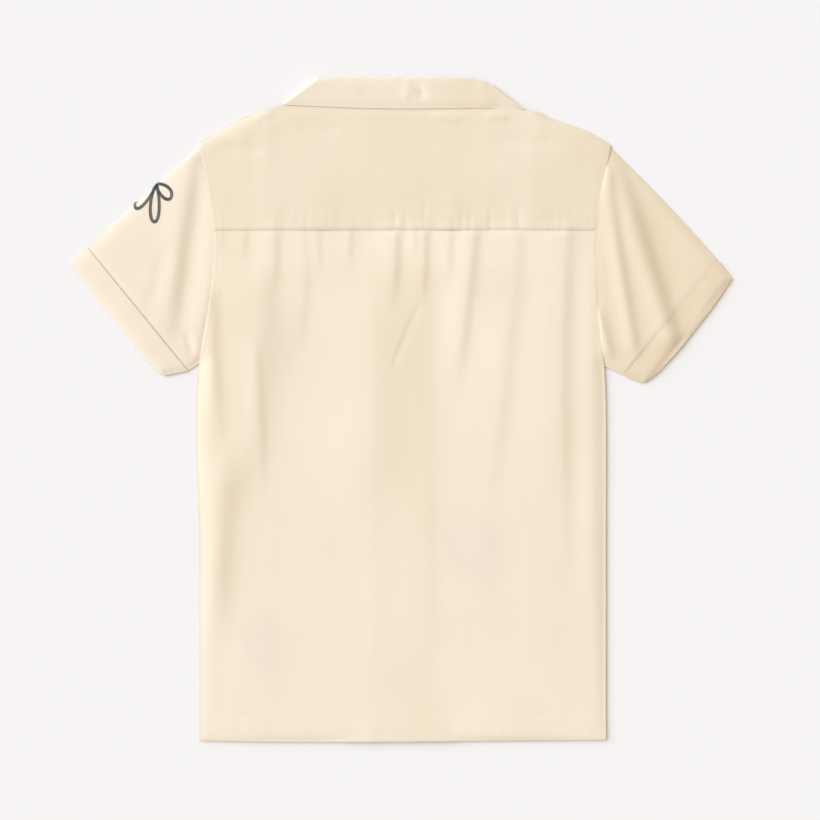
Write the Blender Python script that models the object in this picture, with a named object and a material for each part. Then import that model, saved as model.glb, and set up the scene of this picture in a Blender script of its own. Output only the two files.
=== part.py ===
"""Child's short-sleeve shirt with a camp collar, laid flat on its buttoned front with its back up.

Metres, +Z up. The shirt lies on z = 0. +Y runs from the hem to the collar and +X to the wearer's right.
"""

import math

import bmesh
import bpy
from mathutils import Vector

# The cloth
CLOTH = 0.0010  # thickness of each wall
SEAM = 0.0003  # gap between layers, and between pieces at a seam
JOIN = 0.0006  # gap at a curved seam, where two edges bend differently
LAYER = CLOTH + SEAM
EDGE = 2 * CLOTH + SEAM  # height of the two layers at the outline

# How far the back stands off the floor inside the outline
LOFT = 0.0034
LOFT_WIDTH = 0.020
NECK_LOFT_LOSS = 0.0009  # less loft where the collar's leaves already lift the cloth

# Where the layers over a collar leaf, a lapel or the buttons are lifted: (full lift, no lift)
FRONT_NECK_X = (0.108, 0.122)
FRONT_NECK_Y = (0.130, 0.110)
BACK_NECK_X = (0.114, 0.134)
BACK_NECK_Y = (0.126, 0.095)
FRONT_PLACKET_X = (0.018, 0.036)
BACK_PLACKET_X = (0.026, 0.066)
# The same along the placket, counted up from the point where the front edges cross
FRONT_PLACKET_END = (-0.004, 0.012)
LAPPED_END = (0.014, 0.030)
BACK_PLACKET_END = (0.016, 0.034)

# Grid lines of each panel: (across, along)
BACK_GRID = (60, 19)
YOKE_GRID = (32, 8)
FRONT_GRID = (15, 18)
SLEEVE_GRID = (32, 10)
CUFF_GRID = (32, 2)
LAPEL_GRID = (5, 8)
BACK_CROWDING = 1.35  # above 1 the rows lie closer together at the yoke
FRONT_CROWDING = 1.30
PLACKET_BAND = 0.030  # width of the front's band along its edge
PLACKET_COLUMNS = 3
FOLD_BEGINS = 0.14  # share of a fold's length over which it rises, and over which it fades out
FOLD_FADES = 0.45
STITCH_RUN = 0.001  # a turned edge's step starts this far before its stitches, and ends twice as far after

# Lengths from the hem up
YOKE_SEAM_Y = 0.1577
YOKE_FOLD = 0.0150  # seam allowance turned up inside the yoke's lower edge
YOKE_FOLD_RISE = 0.0004
HEM_DEPTH = 0.0210
HEM_RISE = 0.0005

# The front closure
BREAK_Y = 0.1390  # where the two front edges cross, at the foot of the open neck
BUTTON_RADIUS = 0.0056
BUTTON_THICKNESS = 0.0018
BUTTON_RIM = 0.0009
BUTTON_TOP_Y = 0.1220
BUTTON_PITCH = 0.0770
BUTTON_COUNT = 5
BUTTON_LIFT = BUTTON_THICKNESS + SEAM

# The sleeves
CUFF_END_GAP = 0.0015  # from the sleeve's own end to the cuff's outer fold
CUFF_SHARE = 0.80  # share of the sleeve's rows that lie before the cuff
CUFF_RAMP = (0.97, 0.74)  # where along the sleeve it has moved inside the cuff's space
FLATNESS = 0.3  # lower is boxier at the two folds of a flattened sleeve

# Outline, read from the hem up: (y, x)
LEFT_SIDE = ((-0.2930, -0.1780), (-0.1000, -0.1782), (-0.0300, -0.1806), (0.0100, -0.1806), (0.0420, -0.1780))
RIGHT_SIDE = ((-0.2930, 0.1812), (-0.1000, 0.1812), (-0.0300, 0.1814), (0.0100, 0.1810), (0.0394, 0.1791))
LEFT_ARMHOLE = ((0.0420, -0.1780), (0.0950, -0.1688), (0.1440, -0.1646), (0.1900, -0.1690), (0.2339, -0.1785))
RIGHT_ARMHOLE = ((0.0394, 0.1791), (0.0850, 0.1738), (0.1350, 0.1719), (0.1900, 0.1762), (0.2324, 0.1852))

# Upper and lower edges, read from left to right: (x, y)
LEFT_SHOULDER = (
    (-0.1785, 0.2339), (-0.1764, 0.2365), (-0.1597, 0.2453), (-0.1456, 0.2541), (-0.1219, 0.2629),
    (-0.1050, 0.2676), (-0.0820, 0.2785),
)
NECKLINE = ((-0.0820, 0.2785), (-0.0450, 0.2715), (0.0000, 0.2690), (0.0450, 0.2708), (0.0820, 0.2762))
RIGHT_SHOULDER = (
    (0.0820, 0.2762), (0.1000, 0.2664), (0.1078, 0.2632), (0.1175, 0.2622), (0.1386, 0.2541),
    (0.1632, 0.2453), (0.1791, 0.2365), (0.1852, 0.2324),
)
HEM = ((-0.1780, -0.2918), (-0.0970, -0.2930), (0.0000, -0.2926), (0.1812, -0.2912))
UNDER_COLLAR_Y = 0.2622  # the yoke lies flat above this, under the collar
UNDER_COLLAR_X = 0.1040
SHOULDER_STRIP = 0.0045  # the yoke's last row of faces, along the shoulders

# Inner edge of the wearer's left front, from the hem up, mirrored for the right front: (y, x)
FRONT_EDGE = (
    (-0.2930, 0.0130), (0.1000, 0.0130), (0.1240, 0.0120), (0.1390, 0.0000), (0.1500, -0.0100),
    (0.1800, -0.0290), (0.2165, -0.0480), (0.2400, -0.0650), (0.2600, -0.0765), (0.2785, -0.0820),
)

# Sleeve corners: (x, y) at the upper fold and at the underarm
LEFT_CUFF_LINE = ((-0.2770, 0.1430), (-0.1880, 0.0337))
LEFT_CUFF_END = ((-0.2917, 0.1274), (-0.2125, 0.0287))
RIGHT_CUFF_LINE = ((0.2800, 0.1300), (0.1970, 0.0292))
RIGHT_CUFF_END = ((0.2917, 0.1151), (0.2165, 0.0218))
LEFT_SLEEVE_BOW = -0.0004  # how far the upper fold curves outwards halfway down
RIGHT_SLEEVE_BOW = 0.0015
LEFT_CUFF_BOW = 0.0004  # and how far the cuff's end does
RIGHT_CUFF_BOW = 0.0028
CUFF_CORNER = 0.0050  # how far the cuff's underarm corner is rounded off
CUFF_CORNER_SHARE = 0.16

# Folds, each one a soft ridge or trough that runs down the cloth.
# (top y, low y, top x, bend x, low x, half width, height)
BACK_FOLDS = (
    (0.170, 0.115, -0.1600, -0.1600, -0.1600, 0.0050, 0.0010),
    (0.170, 0.105, -0.1400, -0.1405, -0.1420, 0.0060, 0.0014),
    (0.170, 0.040, -0.1140, -0.1150, -0.1130, 0.0065, 0.0024),
    (0.170, 0.085, -0.0960, -0.0955, -0.0960, 0.0050, 0.0013),
    (0.170, 0.035, -0.0790, -0.0800, -0.0890, 0.0060, 0.0015),
    (0.170, 0.100, -0.0640, -0.0640, -0.0640, 0.0045, 0.0010),
    (0.170, 0.095, -0.0500, -0.0500, -0.0505, 0.0045, 0.0016),
    (0.170, -0.050, -0.0300, -0.0310, -0.0340, 0.0070, 0.0014),
    (0.170, 0.085, -0.0095, -0.0085, -0.0105, 0.0055, 0.0027),
    (0.170, 0.125, 0.0040, 0.0040, 0.0040, 0.0040, 0.0012),
    (0.170, 0.085, 0.0165, 0.0150, 0.0100, 0.0050, 0.0026),
    (0.170, 0.085, 0.0365, 0.0350, 0.0330, 0.0055, 0.0019),
    (0.170, 0.010, 0.0590, 0.0540, 0.0430, 0.0060, 0.0030),
    (0.170, 0.020, 0.0790, 0.0775, 0.0720, 0.0060, 0.0014),
    (0.170, 0.005, 0.0985, 0.0970, 0.0850, 0.0065, 0.0022),
    (0.170, -0.240, 0.1270, 0.1260, 0.1270, 0.0120, 0.0024),
    (0.170, -0.150, 0.1590, 0.1590, 0.1600, 0.0080, 0.0020),
    (0.105, 0.000, -0.1640, -0.1640, -0.1560, 0.0055, -0.0022),
    (0.090, -0.010, -0.1460, -0.1460, -0.1420, 0.0070, 0.0020),
    (0.070, -0.090, -0.1270, -0.1250, -0.1150, 0.0070, -0.0020),
    (-0.025, -0.240, -0.1440, -0.1510, -0.1560, 0.0090, -0.0026),
    (-0.060, -0.200, -0.1280, -0.1290, -0.1340, 0.0080, 0.0020),
)
LEFT_SLEEVE_FOLDS = (
    (0.225, 0.040, -0.1770, -0.1870, -0.2010, 0.0060, -0.0022),
    (0.215, 0.050, -0.1850, -0.2000, -0.2120, 0.0080, 0.0014),
    (0.150, 0.070, -0.2080, -0.2160, -0.2280, 0.0050, -0.0008),
)
RIGHT_SLEEVE_FOLDS = (
    (0.232, 0.062, 0.1860, 0.2250, 0.2320, 0.0080, -0.0030),
    (0.210, 0.060, 0.1890, 0.2080, 0.2180, 0.0075, 0.0018),
    (0.205, 0.045, 0.1800, 0.1960, 0.2100, 0.0055, -0.0018),
    (0.170, 0.045, 0.1810, 0.1860, 0.1970, 0.0060, 0.0012),
)

# Collar sections from the wearer's left leaf, round the neck, to the right leaf, which mirrors the left.
# (neck seam x, y, roll line x, y, outer edge x, y)
COLLAR_LEAF = (
    (-0.0500, 0.2192, -0.0466, 0.2200, -0.0965, 0.2045),
    (-0.0620, 0.2320, -0.0530, 0.2360, -0.1005, 0.2230),
    (-0.0725, 0.2490, -0.0610, 0.2550, -0.1025, 0.2440),
    (-0.0790, 0.2680, -0.0680, 0.2760, -0.1020, 0.2600),
)
LEFT_COLLAR_FOLD = (-0.0808, 0.2792, -0.0712, 0.2900, -0.1026, 0.2680)
COLLAR_BACK = (
    (-0.0600, 0.2748, -0.0560, 0.2921, -0.0740, 0.2668),
    (-0.0300, 0.2710, -0.0280, 0.2920, -0.0400, 0.2653),
    (0.0000, 0.2697, 0.0030, 0.2918, 0.0000, 0.2646),
    (0.0300, 0.2706, 0.0340, 0.2916, 0.0360, 0.2648),
    (0.0600, 0.2734, 0.0670, 0.2899, 0.0760, 0.2652),
)
RIGHT_COLLAR_FOLD = (0.0808, 0.2770, 0.0774, 0.2844, 0.1068, 0.2630)
LEFT_OUTWARD = (-0.573, 0.820)
RIGHT_OUTWARD = (0.590, 0.807)

# The angle of the cloth's outer face: -90 lies under the front, 90 lies on the back
UNDER_FRONT = -90
ON_BACK = 90
FOLD_TURNS = (-54, -18, 18, 54)
LEAF_STEPS = 7
BACK_STEPS = 14
COLLAR_MIDDLE_Z = 0.00245
FALL_RADIUS = 0.00195
STAND_RADIUS = 0.00065
ROLL_SOFTNESS = 0.0012
FALL_SHARES = (0.0, 0.5, 0.92)  # places across the fall, from its outer edge to the roll
SOFT_SHARE = 0.9  # how far across the fall it reaches its full softness
ROLL_SET_BACK = 0.8  # how far the roll's middle lies inside the roll line, in its radii
ROLL_ANGLES = (30, 90, 150)
STAND_SHARES = (0.4, 1.0)

# Lapel of the wearer's left front, from its foot to the gorge, mirrored for the right one.
# (roll line y, outer edge x, y)
LAPEL = (
    (0.1510, -0.0145, 0.1490),
    (0.1655, -0.0400, 0.1590),
    (0.1835, -0.0640, 0.1725),
    (0.2010, -0.0790, 0.1875),
    (0.2160, -0.0850, 0.1965),
)

CREAM = (0.90, 0.79, 0.63, 1.0)
HORN = (0.86, 0.80, 0.70, 1.0)
FAR = 10.0


def smooth(t):
    """0 below 0, 1 above 1, and a soft S between."""
    t = max(0.0, min(1.0, t))
    return t * t * (3 - 2 * t)


def ramp(value, full, none):
    """1 at full, 0 at none."""
    return smooth((value - none) / (full - none))


def follow(rows, at):
    """The value of the rows' second column where the first is at, along a smooth curve."""
    last = len(rows) - 1
    i = 0
    while i < last - 1 and at > rows[i + 1][0]:
        i += 1
    x0, y0 = rows[i]
    x1, y1 = rows[i + 1]
    before = rows[i - 1] if i > 0 else rows[i]
    after = rows[i + 2] if i + 2 <= last else rows[i + 1]
    slope0 = (y1 - before[1]) / (x1 - before[0])
    slope1 = (after[1] - y0) / (after[0] - x0)
    span = x1 - x0
    t = max(0.0, min(1.0, (at - x0) / span))
    a = t * t * (3 - 2 * t)
    b = t * (1 - t) * (1 - t)
    c = t * t * (1 - t)
    return y0 * (1 - a) + y1 * a + span * (slope0 * b - slope1 * c)


def between(rows, t):
    """Point t, from 0 to 1, along rows of any width, on a smooth curve through all of them."""
    place = t * (len(rows) - 1)
    i = min(int(place), len(rows) - 2)
    f = place - i
    p1, p2 = rows[i], rows[i + 1]
    p0 = rows[i - 1] if i > 0 else p1
    p3 = rows[i + 2] if i + 2 < len(rows) else p2
    return [
        0.5 * (2 * b + (c - a) * f + (2 * a - 5 * b + 4 * c - d) * f * f + (3 * b - a - 3 * c + d) * f ** 3)
        for a, b, c, d in zip(p0, p1, p2, p3)
    ]


def along(rows, steps):
    """Rows resampled at even steps of the smooth curve through them."""
    return [between(rows, i / steps) for i in range(steps + 1)]


def mix(a, b, t):
    return a + (b - a) * t


def left_edge(y):
    """x of the body's left outline or armhole seam."""
    return follow(LEFT_SIDE, y) if y < LEFT_SIDE[-1][0] else follow(LEFT_ARMHOLE, y)


def right_edge(y):
    return follow(RIGHT_SIDE, y) if y < RIGHT_SIDE[-1][0] else follow(RIGHT_ARMHOLE, y)


def shoulder_y(x):
    """y of the upper edge of the yoke and fronts: the shoulders, and the neckline between them."""
    if x < NECKLINE[0][0]:
        return follow(LEFT_SHOULDER, x)
    return follow(NECKLINE, x) if x < NECKLINE[-1][0] else follow(RIGHT_SHOULDER, x)


def hem_y(x):
    return follow(HEM, x)


def outline():
    """The whole shirt's outline below its collar, as points in order."""
    points = [(x, y) for y, x in LEFT_SIDE[::-1]] + list(HEM[1:-1]) + [(x, y) for y, x in RIGHT_SIDE]
    points += [RIGHT_CUFF_LINE[1], RIGHT_CUFF_END[1], RIGHT_CUFF_END[0], RIGHT_CUFF_LINE[0]]
    points += RIGHT_SHOULDER[:1:-1]
    points += [(UNDER_COLLAR_X, UNDER_COLLAR_Y), (-UNDER_COLLAR_X, UNDER_COLLAR_Y)]
    points += LEFT_SHOULDER[-2::-1]
    points += [LEFT_CUFF_LINE[0], LEFT_CUFF_END[0], LEFT_CUFF_END[1], LEFT_CUFF_LINE[1]]
    return points


OUTLINE = outline()


def inset(x, y):
    """Distance from a point to the outline, or 0 under the collar."""
    if abs(x) < UNDER_COLLAR_X and y > UNDER_COLLAR_Y:
        return 0.0
    best = FAR
    for i, (x0, y0) in enumerate(OUTLINE):
        x1, y1 = OUTLINE[(i + 1) % len(OUTLINE)]
        dx, dy = x1 - x0, y1 - y0
        t = max(0.0, min(1.0, ((x - x0) * dx + (y - y0) * dy) / (dx * dx + dy * dy)))
        best = min(best, math.hypot(x - x0 - t * dx, y - y0 - t * dy))
    return best


def fold_sum(rows, x, y):
    """Height that the folds of a table add at a point."""
    total = 0.0
    for top_y, low_y, top_x, bend_x, low_x, half_width, height in rows:
        v = (top_y - y) / (top_y - low_y)
        if 0 < v < 1:
            middle = (1 - v) ** 2 * top_x + 2 * v * (1 - v) * bend_x + v * v * low_x
            across = (x - middle) / half_width
            begun = smooth(v / FOLD_BEGINS) * smooth((1 - v) / FOLD_FADES)
            total += height * math.exp(-across * across) * begun
    return total


def upper(x, y, folds=()):
    """Height of the top of the uppermost layer."""
    rise = smooth(inset(x, y) / LOFT_WIDTH)
    lift = ramp(abs(x), *BACK_NECK_X) * ramp(y, *BACK_NECK_Y)
    return EDGE + LAYER * lift + (LOFT - NECK_LOFT_LOSS * lift) * rise + fold_sum(folds, x, y) * rise


def front_under(x, y, lapped):
    """Height of the underside of a front. lapped is true for the one that lies on the other."""
    over_leaves = ramp(abs(x), *FRONT_NECK_X) * ramp(y, *FRONT_NECK_Y)
    over_buttons = ramp(abs(x), *FRONT_PLACKET_X) * ramp(y - BREAK_Y, *FRONT_PLACKET_END)
    height = max(LAYER * over_leaves, BUTTON_LIFT * over_buttons)
    if lapped:
        height += LAYER * ramp(x, *FRONT_PLACKET_X) * ramp(y - BREAK_Y, *LAPPED_END)
    return height


def least_back(x, y):
    """The lowest that the top of the back may be over the lapped fronts and their buttons."""
    over_placket = ramp(abs(x), *BACK_PLACKET_X) * ramp(y - BREAK_Y, *BACK_PLACKET_END)
    return EDGE + (BUTTON_LIFT + LAYER) * over_placket


def finish(bm, name, colour, collection, flat=False):
    """Makes the bmesh an object with a material of its own."""
    mesh = bpy.data.meshes.new(name)
    bmesh.ops.recalc_face_normals(bm, faces=bm.faces)
    bm.to_mesh(mesh)
    bm.free()
    if not flat:
        mesh.shade_smooth()
        mesh.set_sharp_from_angle(angle=math.radians(40))
    material = bpy.data.materials.new(name)
    material.use_nodes = True
    shader = material.node_tree.nodes["Principled BSDF"]
    shader.inputs["Base Color"].default_value = colour
    shader.inputs["Roughness"].default_value = 0.45 if flat else 0.9
    shader.inputs["Metallic"].default_value = 0.0
    mesh.materials.append(material)
    made = bpy.data.objects.new(name, mesh)
    collection.objects.link(made)
    return made


def cloth_wall(name, grid, place, collection, rolled=False):
    """A wall of cloth. It starts as a flat grid, rolled into a tube if asked, and is extruded into two skins.

    place(u, v, skin) gives each point of the inner (0) and outer (1) skin, with u and v from 0 to 1.
    """
    bm = bmesh.new()
    bmesh.ops.create_grid(bm, x_segments=grid[0], y_segments=grid[1], size=0.5)
    u_layer = bm.verts.layers.float.new("u")
    v_layer = bm.verts.layers.float.new("v")
    for vert in bm.verts:
        vert[u_layer] = vert.co.x + 0.5
        vert[v_layer] = vert.co.y + 0.5
        if rolled:
            angle = 2 * math.pi * vert[u_layer]
            vert.co = Vector((math.cos(angle), math.sin(angle), vert[v_layer]))
    if rolled:
        bmesh.ops.remove_doubles(bm, verts=bm.verts, dist=1e-5)
    outer = bmesh.ops.extrude_face_region(bm, geom=bm.faces[:], use_keep_orig=True)
    outer = {part for part in outer["geom"] if isinstance(part, bmesh.types.BMVert)}
    for vert in bm.verts:
        vert.co = Vector(place(vert[u_layer], vert[v_layer], 1 if vert in outer else 0))
    return finish(bm, name, CREAM, collection)


def body_point(u, v, low, high):
    """(x, y) of the body at u across and v up, between two curves y(x)."""
    x = 0.0
    y = 0.0
    for _ in range(4):
        y = mix(low(x), high(x), v)
        x = mix(left_edge(y), right_edge(y), u)
    return x, y


def make_back(collection):
    """The back, gathered into the yoke, with a turned hem."""

    def place(u, v, skin):
        x, y = body_point(u, 1 - (1 - v) ** BACK_CROWDING, hem_y, lambda x: YOKE_SEAM_Y - SEAM / 2)
        stitches = hem_y(x) + HEM_DEPTH
        turned = HEM_RISE * ramp(y, stitches - STITCH_RUN, stitches + 2 * STITCH_RUN)
        top = max(upper(x, y, BACK_FOLDS), least_back(x, y))
        return x, y, top + turned if skin else top - CLOTH

    return cloth_wall("back", BACK_GRID, place, collection)


def make_yoke(collection):
    """The yoke over the shoulders. Its lower edge is thicker, where the seam allowance is turned in."""
    share = (YOKE_GRID[1] - 1) / YOKE_GRID[1]
    stitches = YOKE_SEAM_Y + YOKE_FOLD

    def strip_y(x):
        return min(shoulder_y(x) - SHOULDER_STRIP, UNDER_COLLAR_Y)

    def place(u, v, skin):
        if v > share:
            x, y = body_point(u, (v - share) / (1 - share), strip_y, shoulder_y)
        else:
            x, y = body_point(u, v / share, lambda x: YOKE_SEAM_Y + SEAM / 2, strip_y)
        turned = YOKE_FOLD_RISE * ramp(y, stitches, stitches + 3 * STITCH_RUN)
        top = upper(x, y)
        return x, y, top + turned if skin else top - CLOTH

    return cloth_wall("yoke", YOKE_GRID, place, collection)


def make_front(collection, side):
    """A front from its placket or neck edge out to the side seam. side is -1 for the wearer's left."""
    edge = left_edge if side < 0 else right_edge
    share = PLACKET_COLUMNS / FRONT_GRID[0]

    def place(u, v, skin):
        x = edge(0) / 2
        y = 0.0
        for _ in range(4):
            y = mix(hem_y(x), shoulder_y(x), 1 - (1 - v) ** FRONT_CROWDING)
            inner = -side * follow(FRONT_EDGE, y)
            if u < share:
                x = inner + side * PLACKET_BAND * u / share
            else:
                x = mix(inner + side * PLACKET_BAND, edge(y), (u - share) / (1 - share))
        under = front_under(x, y, side > 0)
        return x, y, under + CLOTH * skin

    return cloth_wall("front_left" if side < 0 else "front_right", FRONT_GRID, place, collection)


def sleeve_lines(side):
    """The armhole, the cuff's inner line and the cuff's end, each read by t from the upper fold down."""
    armhole = LEFT_ARMHOLE if side < 0 else RIGHT_ARMHOLE
    line = LEFT_CUFF_LINE if side < 0 else RIGHT_CUFF_LINE
    end = LEFT_CUFF_END if side < 0 else RIGHT_CUFF_END
    cuff_bow = LEFT_CUFF_BOW if side < 0 else RIGHT_CUFF_BOW
    cuff_way = Vector((side, -1)).normalized()

    def seam(t):
        y = mix(armhole[-1][0], armhole[0][0], t)
        return Vector((follow(armhole, y) + side * JOIN, y))

    def inner(t):
        return Vector(line[0]).lerp(Vector(line[1]), t)

    def outer(t):
        corner = max(0.0, (t - 1 + CUFF_CORNER_SHARE) / CUFF_CORNER_SHARE)
        back = CUFF_CORNER * (1 - math.sqrt(max(0.0, 1 - corner * corner)))
        plain = Vector(end[0]).lerp(Vector(end[1]), t) + cuff_way * cuff_bow * 4 * t * (1 - t)
        return plain + (inner(t) - plain).normalized() * back

    return seam, inner, outer


def flat_tube_point(a, b, angle, low, high, chord_inset, depth_inset):
    """A point of a flat tube. Angle 0 is at a, half a turn is at b, and the first half turn is on top."""
    along = (b - a).normalized()
    start = a + along * chord_inset
    stop = b - along * chord_inset
    across = (1 - math.cos(angle)) / 2
    full = abs(math.sin(angle)) ** FLATNESS
    middle = low + EDGE / 2
    if math.sin(angle) >= 0:
        z = middle + (high - depth_inset - middle) * full
    else:
        z = middle - (middle - low - depth_inset) * full
    place = start.lerp(stop, across)
    return place.x, place.y, z


def make_sleeve(collection, side):
    """A sleeve, flattened into a tube with two walls, as far as the fold of its turned-up cuff."""
    seam, inner, outer = sleeve_lines(side)
    folds = LEFT_SLEEVE_FOLDS if side < 0 else RIGHT_SLEEVE_FOLDS
    bow_by = LEFT_SLEEVE_BOW if side < 0 else RIGHT_SLEEVE_BOW
    bow_way = Vector((side, 1)).normalized()

    def place(u, v, skin):
        angle = 2 * math.pi * u
        t = (1 - math.cos(angle)) / 2
        if v < CUFF_SHARE:
            s = v / CUFF_SHARE
            centre = seam(t).lerp(inner(t), s) + bow_way * bow_by * (1 - t) * 4 * s * (1 - s)
            in_cuff = ramp(s, *CUFF_RAMP)
            ends = (seam(0).lerp(inner(0), s), seam(1).lerp(inner(1), s))
        else:
            s = (v - CUFF_SHARE) / (1 - CUFF_SHARE)
            reach = 1 - CUFF_END_GAP / (outer(0.5) - inner(0.5)).length
            centre = inner(t).lerp(outer(t), s * reach)
            in_cuff = 1.0
            ends = (inner(0).lerp(outer(0), s * reach), inner(1).lerp(outer(1), s * reach))
        low = LAYER * in_cuff
        high = max(upper(centre.x, centre.y, folds), low + EDGE)
        margin = (LAYER if skin else LAYER + CLOTH) * in_cuff + (0.0 if skin else CLOTH) * (1 - in_cuff)
        x, y, z = flat_tube_point(ends[0], ends[1], angle, low, high, margin, 0.0 if skin else CLOTH)
        bow = centre - ends[0].lerp(ends[1], t)
        return x + bow.x, y + bow.y, z

    name = "sleeve_left" if side < 0 else "sleeve_right"
    return cloth_wall(name, SLEEVE_GRID, place, collection, rolled=True)


def make_cuff(collection, side):
    """The turned-up cuff: a band round the sleeve's end, one layer of cloth outside it."""
    _, inner, outer = sleeve_lines(side)
    folds = LEFT_SLEEVE_FOLDS if side < 0 else RIGHT_SLEEVE_FOLDS

    def place(u, v, skin):
        angle = 2 * math.pi * u
        t = (1 - math.cos(angle)) / 2
        centre = inner(t).lerp(outer(t), v)
        ends = (inner(0).lerp(outer(0), v), inner(1).lerp(outer(1), v))
        sleeve_top = max(upper(centre.x, centre.y, folds), LAYER + EDGE)
        low = 0.0 if skin else CLOTH
        high = sleeve_top + (LAYER if skin else SEAM)
        along = (ends[1] - ends[0]).normalized()
        inset_by = 0.0 if skin else CLOTH
        start = ends[0] + along * inset_by
        stop = ends[1] - along * inset_by
        full = abs(math.sin(angle)) ** FLATNESS
        middle = LAYER + EDGE / 2
        z = mix(middle, high if math.sin(angle) >= 0 else low, full)
        place_on = start.lerp(stop, t) + (centre - ends[0].lerp(ends[1], t))
        return place_on.x, place_on.y, z

    return cloth_wall("cuff_left" if side < 0 else "cuff_right", CUFF_GRID, place, collection, rolled=True)


def collar_sections():
    """Each section of the collar in order: its row, its outward direction at the shoulder, and its turn."""
    right_leaf = [
        [-value if i % 2 == 0 else value for i, value in enumerate(row)] for row in COLLAR_LEAF[::-1]
    ]
    left = Vector(LEFT_OUTWARD).to_3d()
    right = Vector(RIGHT_OUTWARD).to_3d()
    sections = [(row, left, UNDER_FRONT) for row in along([*COLLAR_LEAF, LEFT_COLLAR_FOLD], LEAF_STEPS)]
    sections += [(LEFT_COLLAR_FOLD, left, turn) for turn in FOLD_TURNS]
    back = along([LEFT_COLLAR_FOLD, *COLLAR_BACK, RIGHT_COLLAR_FOLD], BACK_STEPS)
    sections += [(row, left, ON_BACK) for row in back]
    sections += [(RIGHT_COLLAR_FOLD, right, turn) for turn in FOLD_TURNS[::-1]]
    sections += [(row, right, UNDER_FRONT) for row in along([RIGHT_COLLAR_FOLD, *right_leaf], LEAF_STEPS)]
    return sections


def neck_seam(x, y, turn):
    """A point of the collar's neck seam, moved into the open neck where it would touch other cloth."""
    if turn < ON_BACK:
        limit = -follow(FRONT_EDGE, y) - 1.5 * JOIN
        x = max(-limit, min(limit, x))
    if turn > UNDER_FRONT:
        y = max(y, shoulder_y(x) + JOIN)
    return x, y


def collar_ring(row, outward, turn):
    """The closed ring of one collar section: over its outer face to the neck seam, and back inside."""
    neck_x, neck_y, roll_x, roll_y, edge_x, edge_y = row
    angle = math.radians(turn)
    face = outward * math.cos(angle) + Vector((0, 0, math.sin(angle)))
    neck = Vector((*neck_seam(neck_x, neck_y, turn), COLLAR_MIDDLE_Z))
    roll = Vector((roll_x, roll_y, COLLAR_MIDDLE_Z))
    edge = Vector((edge_x, edge_y, COLLAR_MIDDLE_Z))
    beyond = (roll - edge).normalized()
    soft = ROLL_SOFTNESS * max(0.0, math.sin(angle))
    radius = (FALL_RADIUS + soft - STAND_RADIUS) / 2
    middle = [
        (edge.lerp(roll, s) + face * (FALL_RADIUS + soft * smooth(s / SOFT_SHARE)), face) for s in FALL_SHARES
    ]
    for degrees in ROLL_ANGLES:
        turned = math.radians(degrees)
        way = face * math.cos(turned) + beyond * math.sin(turned)
        centre = roll + face * (STAND_RADIUS + radius) - beyond * radius * ROLL_SET_BACK
        middle.append((centre + way * radius, way))
    middle += [(roll.lerp(neck, s) + face * STAND_RADIUS, -face) for s in STAND_SHARES]
    outside = [point + normal * CLOTH / 2 for point, normal in middle]
    inside = [point - normal * CLOTH / 2 for point, normal in middle]
    return outside + inside[::-1]


def make_collar(collection):
    """The collar: a fall and a stand joined at the roll line, lofted round the neck through closed rings."""
    bm = bmesh.new()
    loops = [[bm.verts.new(point) for point in collar_ring(*section)] for section in collar_sections()]
    count = len(loops[0])
    for near, far in zip(loops, loops[1:]):
        for k in range(count):
            bm.faces.new((near[k], near[(k + 1) % count], far[(k + 1) % count], far[k]))
    for loop in (loops[0], loops[-1]):
        for k in range(count // 2 - 1):
            bm.faces.new((loop[k], loop[k + 1], loop[count - 2 - k], loop[count - 1 - k]))
    return finish(bm, "collar", CREAM, collection)


def make_lapel(collection, side):
    """The lapel, turned out under its front from the roll line. side is -1 for the wearer's left."""

    def place(u, v, skin):
        roll_y, edge_x, edge_y = between(LAPEL, v)
        x = mix(follow(FRONT_EDGE, roll_y), edge_x, u)
        return -side * x, mix(roll_y, edge_y, u), CLOTH * skin

    return cloth_wall("lapel_left" if side < 0 else "lapel_right", LAPEL_GRID, place, collection)


def make_button(collection, index):
    """A button, face down on the floor under the placket, with a raised rim."""
    bm = bmesh.new()
    bmesh.ops.create_cone(
        bm, cap_ends=True, segments=20, radius1=BUTTON_RADIUS, radius2=BUTTON_RADIUS, depth=BUTTON_THICKNESS
    )
    face = [f for f in bm.faces if f.normal.z < -0.9]
    bmesh.ops.inset_region(bm, faces=face, thickness=BUTTON_RIM, depth=-BUTTON_RIM / 3)
    y = BUTTON_TOP_Y - index * BUTTON_PITCH
    bmesh.ops.translate(bm, verts=bm.verts, vec=(0.0, y, BUTTON_THICKNESS / 2))
    return finish(bm, f"button_{index + 1}", HORN, collection, flat=True)


def main():
    for old in list(bpy.data.objects):
        bpy.data.objects.remove(old)
    shirt = bpy.data.collections.new("short_sleeve_shirt")
    bpy.context.scene.collection.children.link(shirt)
    make_back(shirt)
    make_yoke(shirt)
    for side in (-1, 1):
        make_front(shirt, side)
        make_sleeve(shirt, side)
        make_cuff(shirt, side)
        make_lapel(shirt, side)
    make_collar(shirt)
    for index in range(BUTTON_COUNT):
        make_button(shirt, index)


main()
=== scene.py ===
"""Scene for a child's short-sleeve shirt in cream cotton, laid flat on its buttoned front with its back up.

Metres, +Z up. The shirt lies on z = 0. +Y runs from the hem to the collar and +X to the wearer's right.
"""

from __future__ import annotations

import logging
import math
from dataclasses import dataclass, field, replace
from enum import Enum
from typing import Any, Callable, Iterable, Sequence

import bmesh
import bpy
from mathutils import Matrix, Vector, noise


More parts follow.
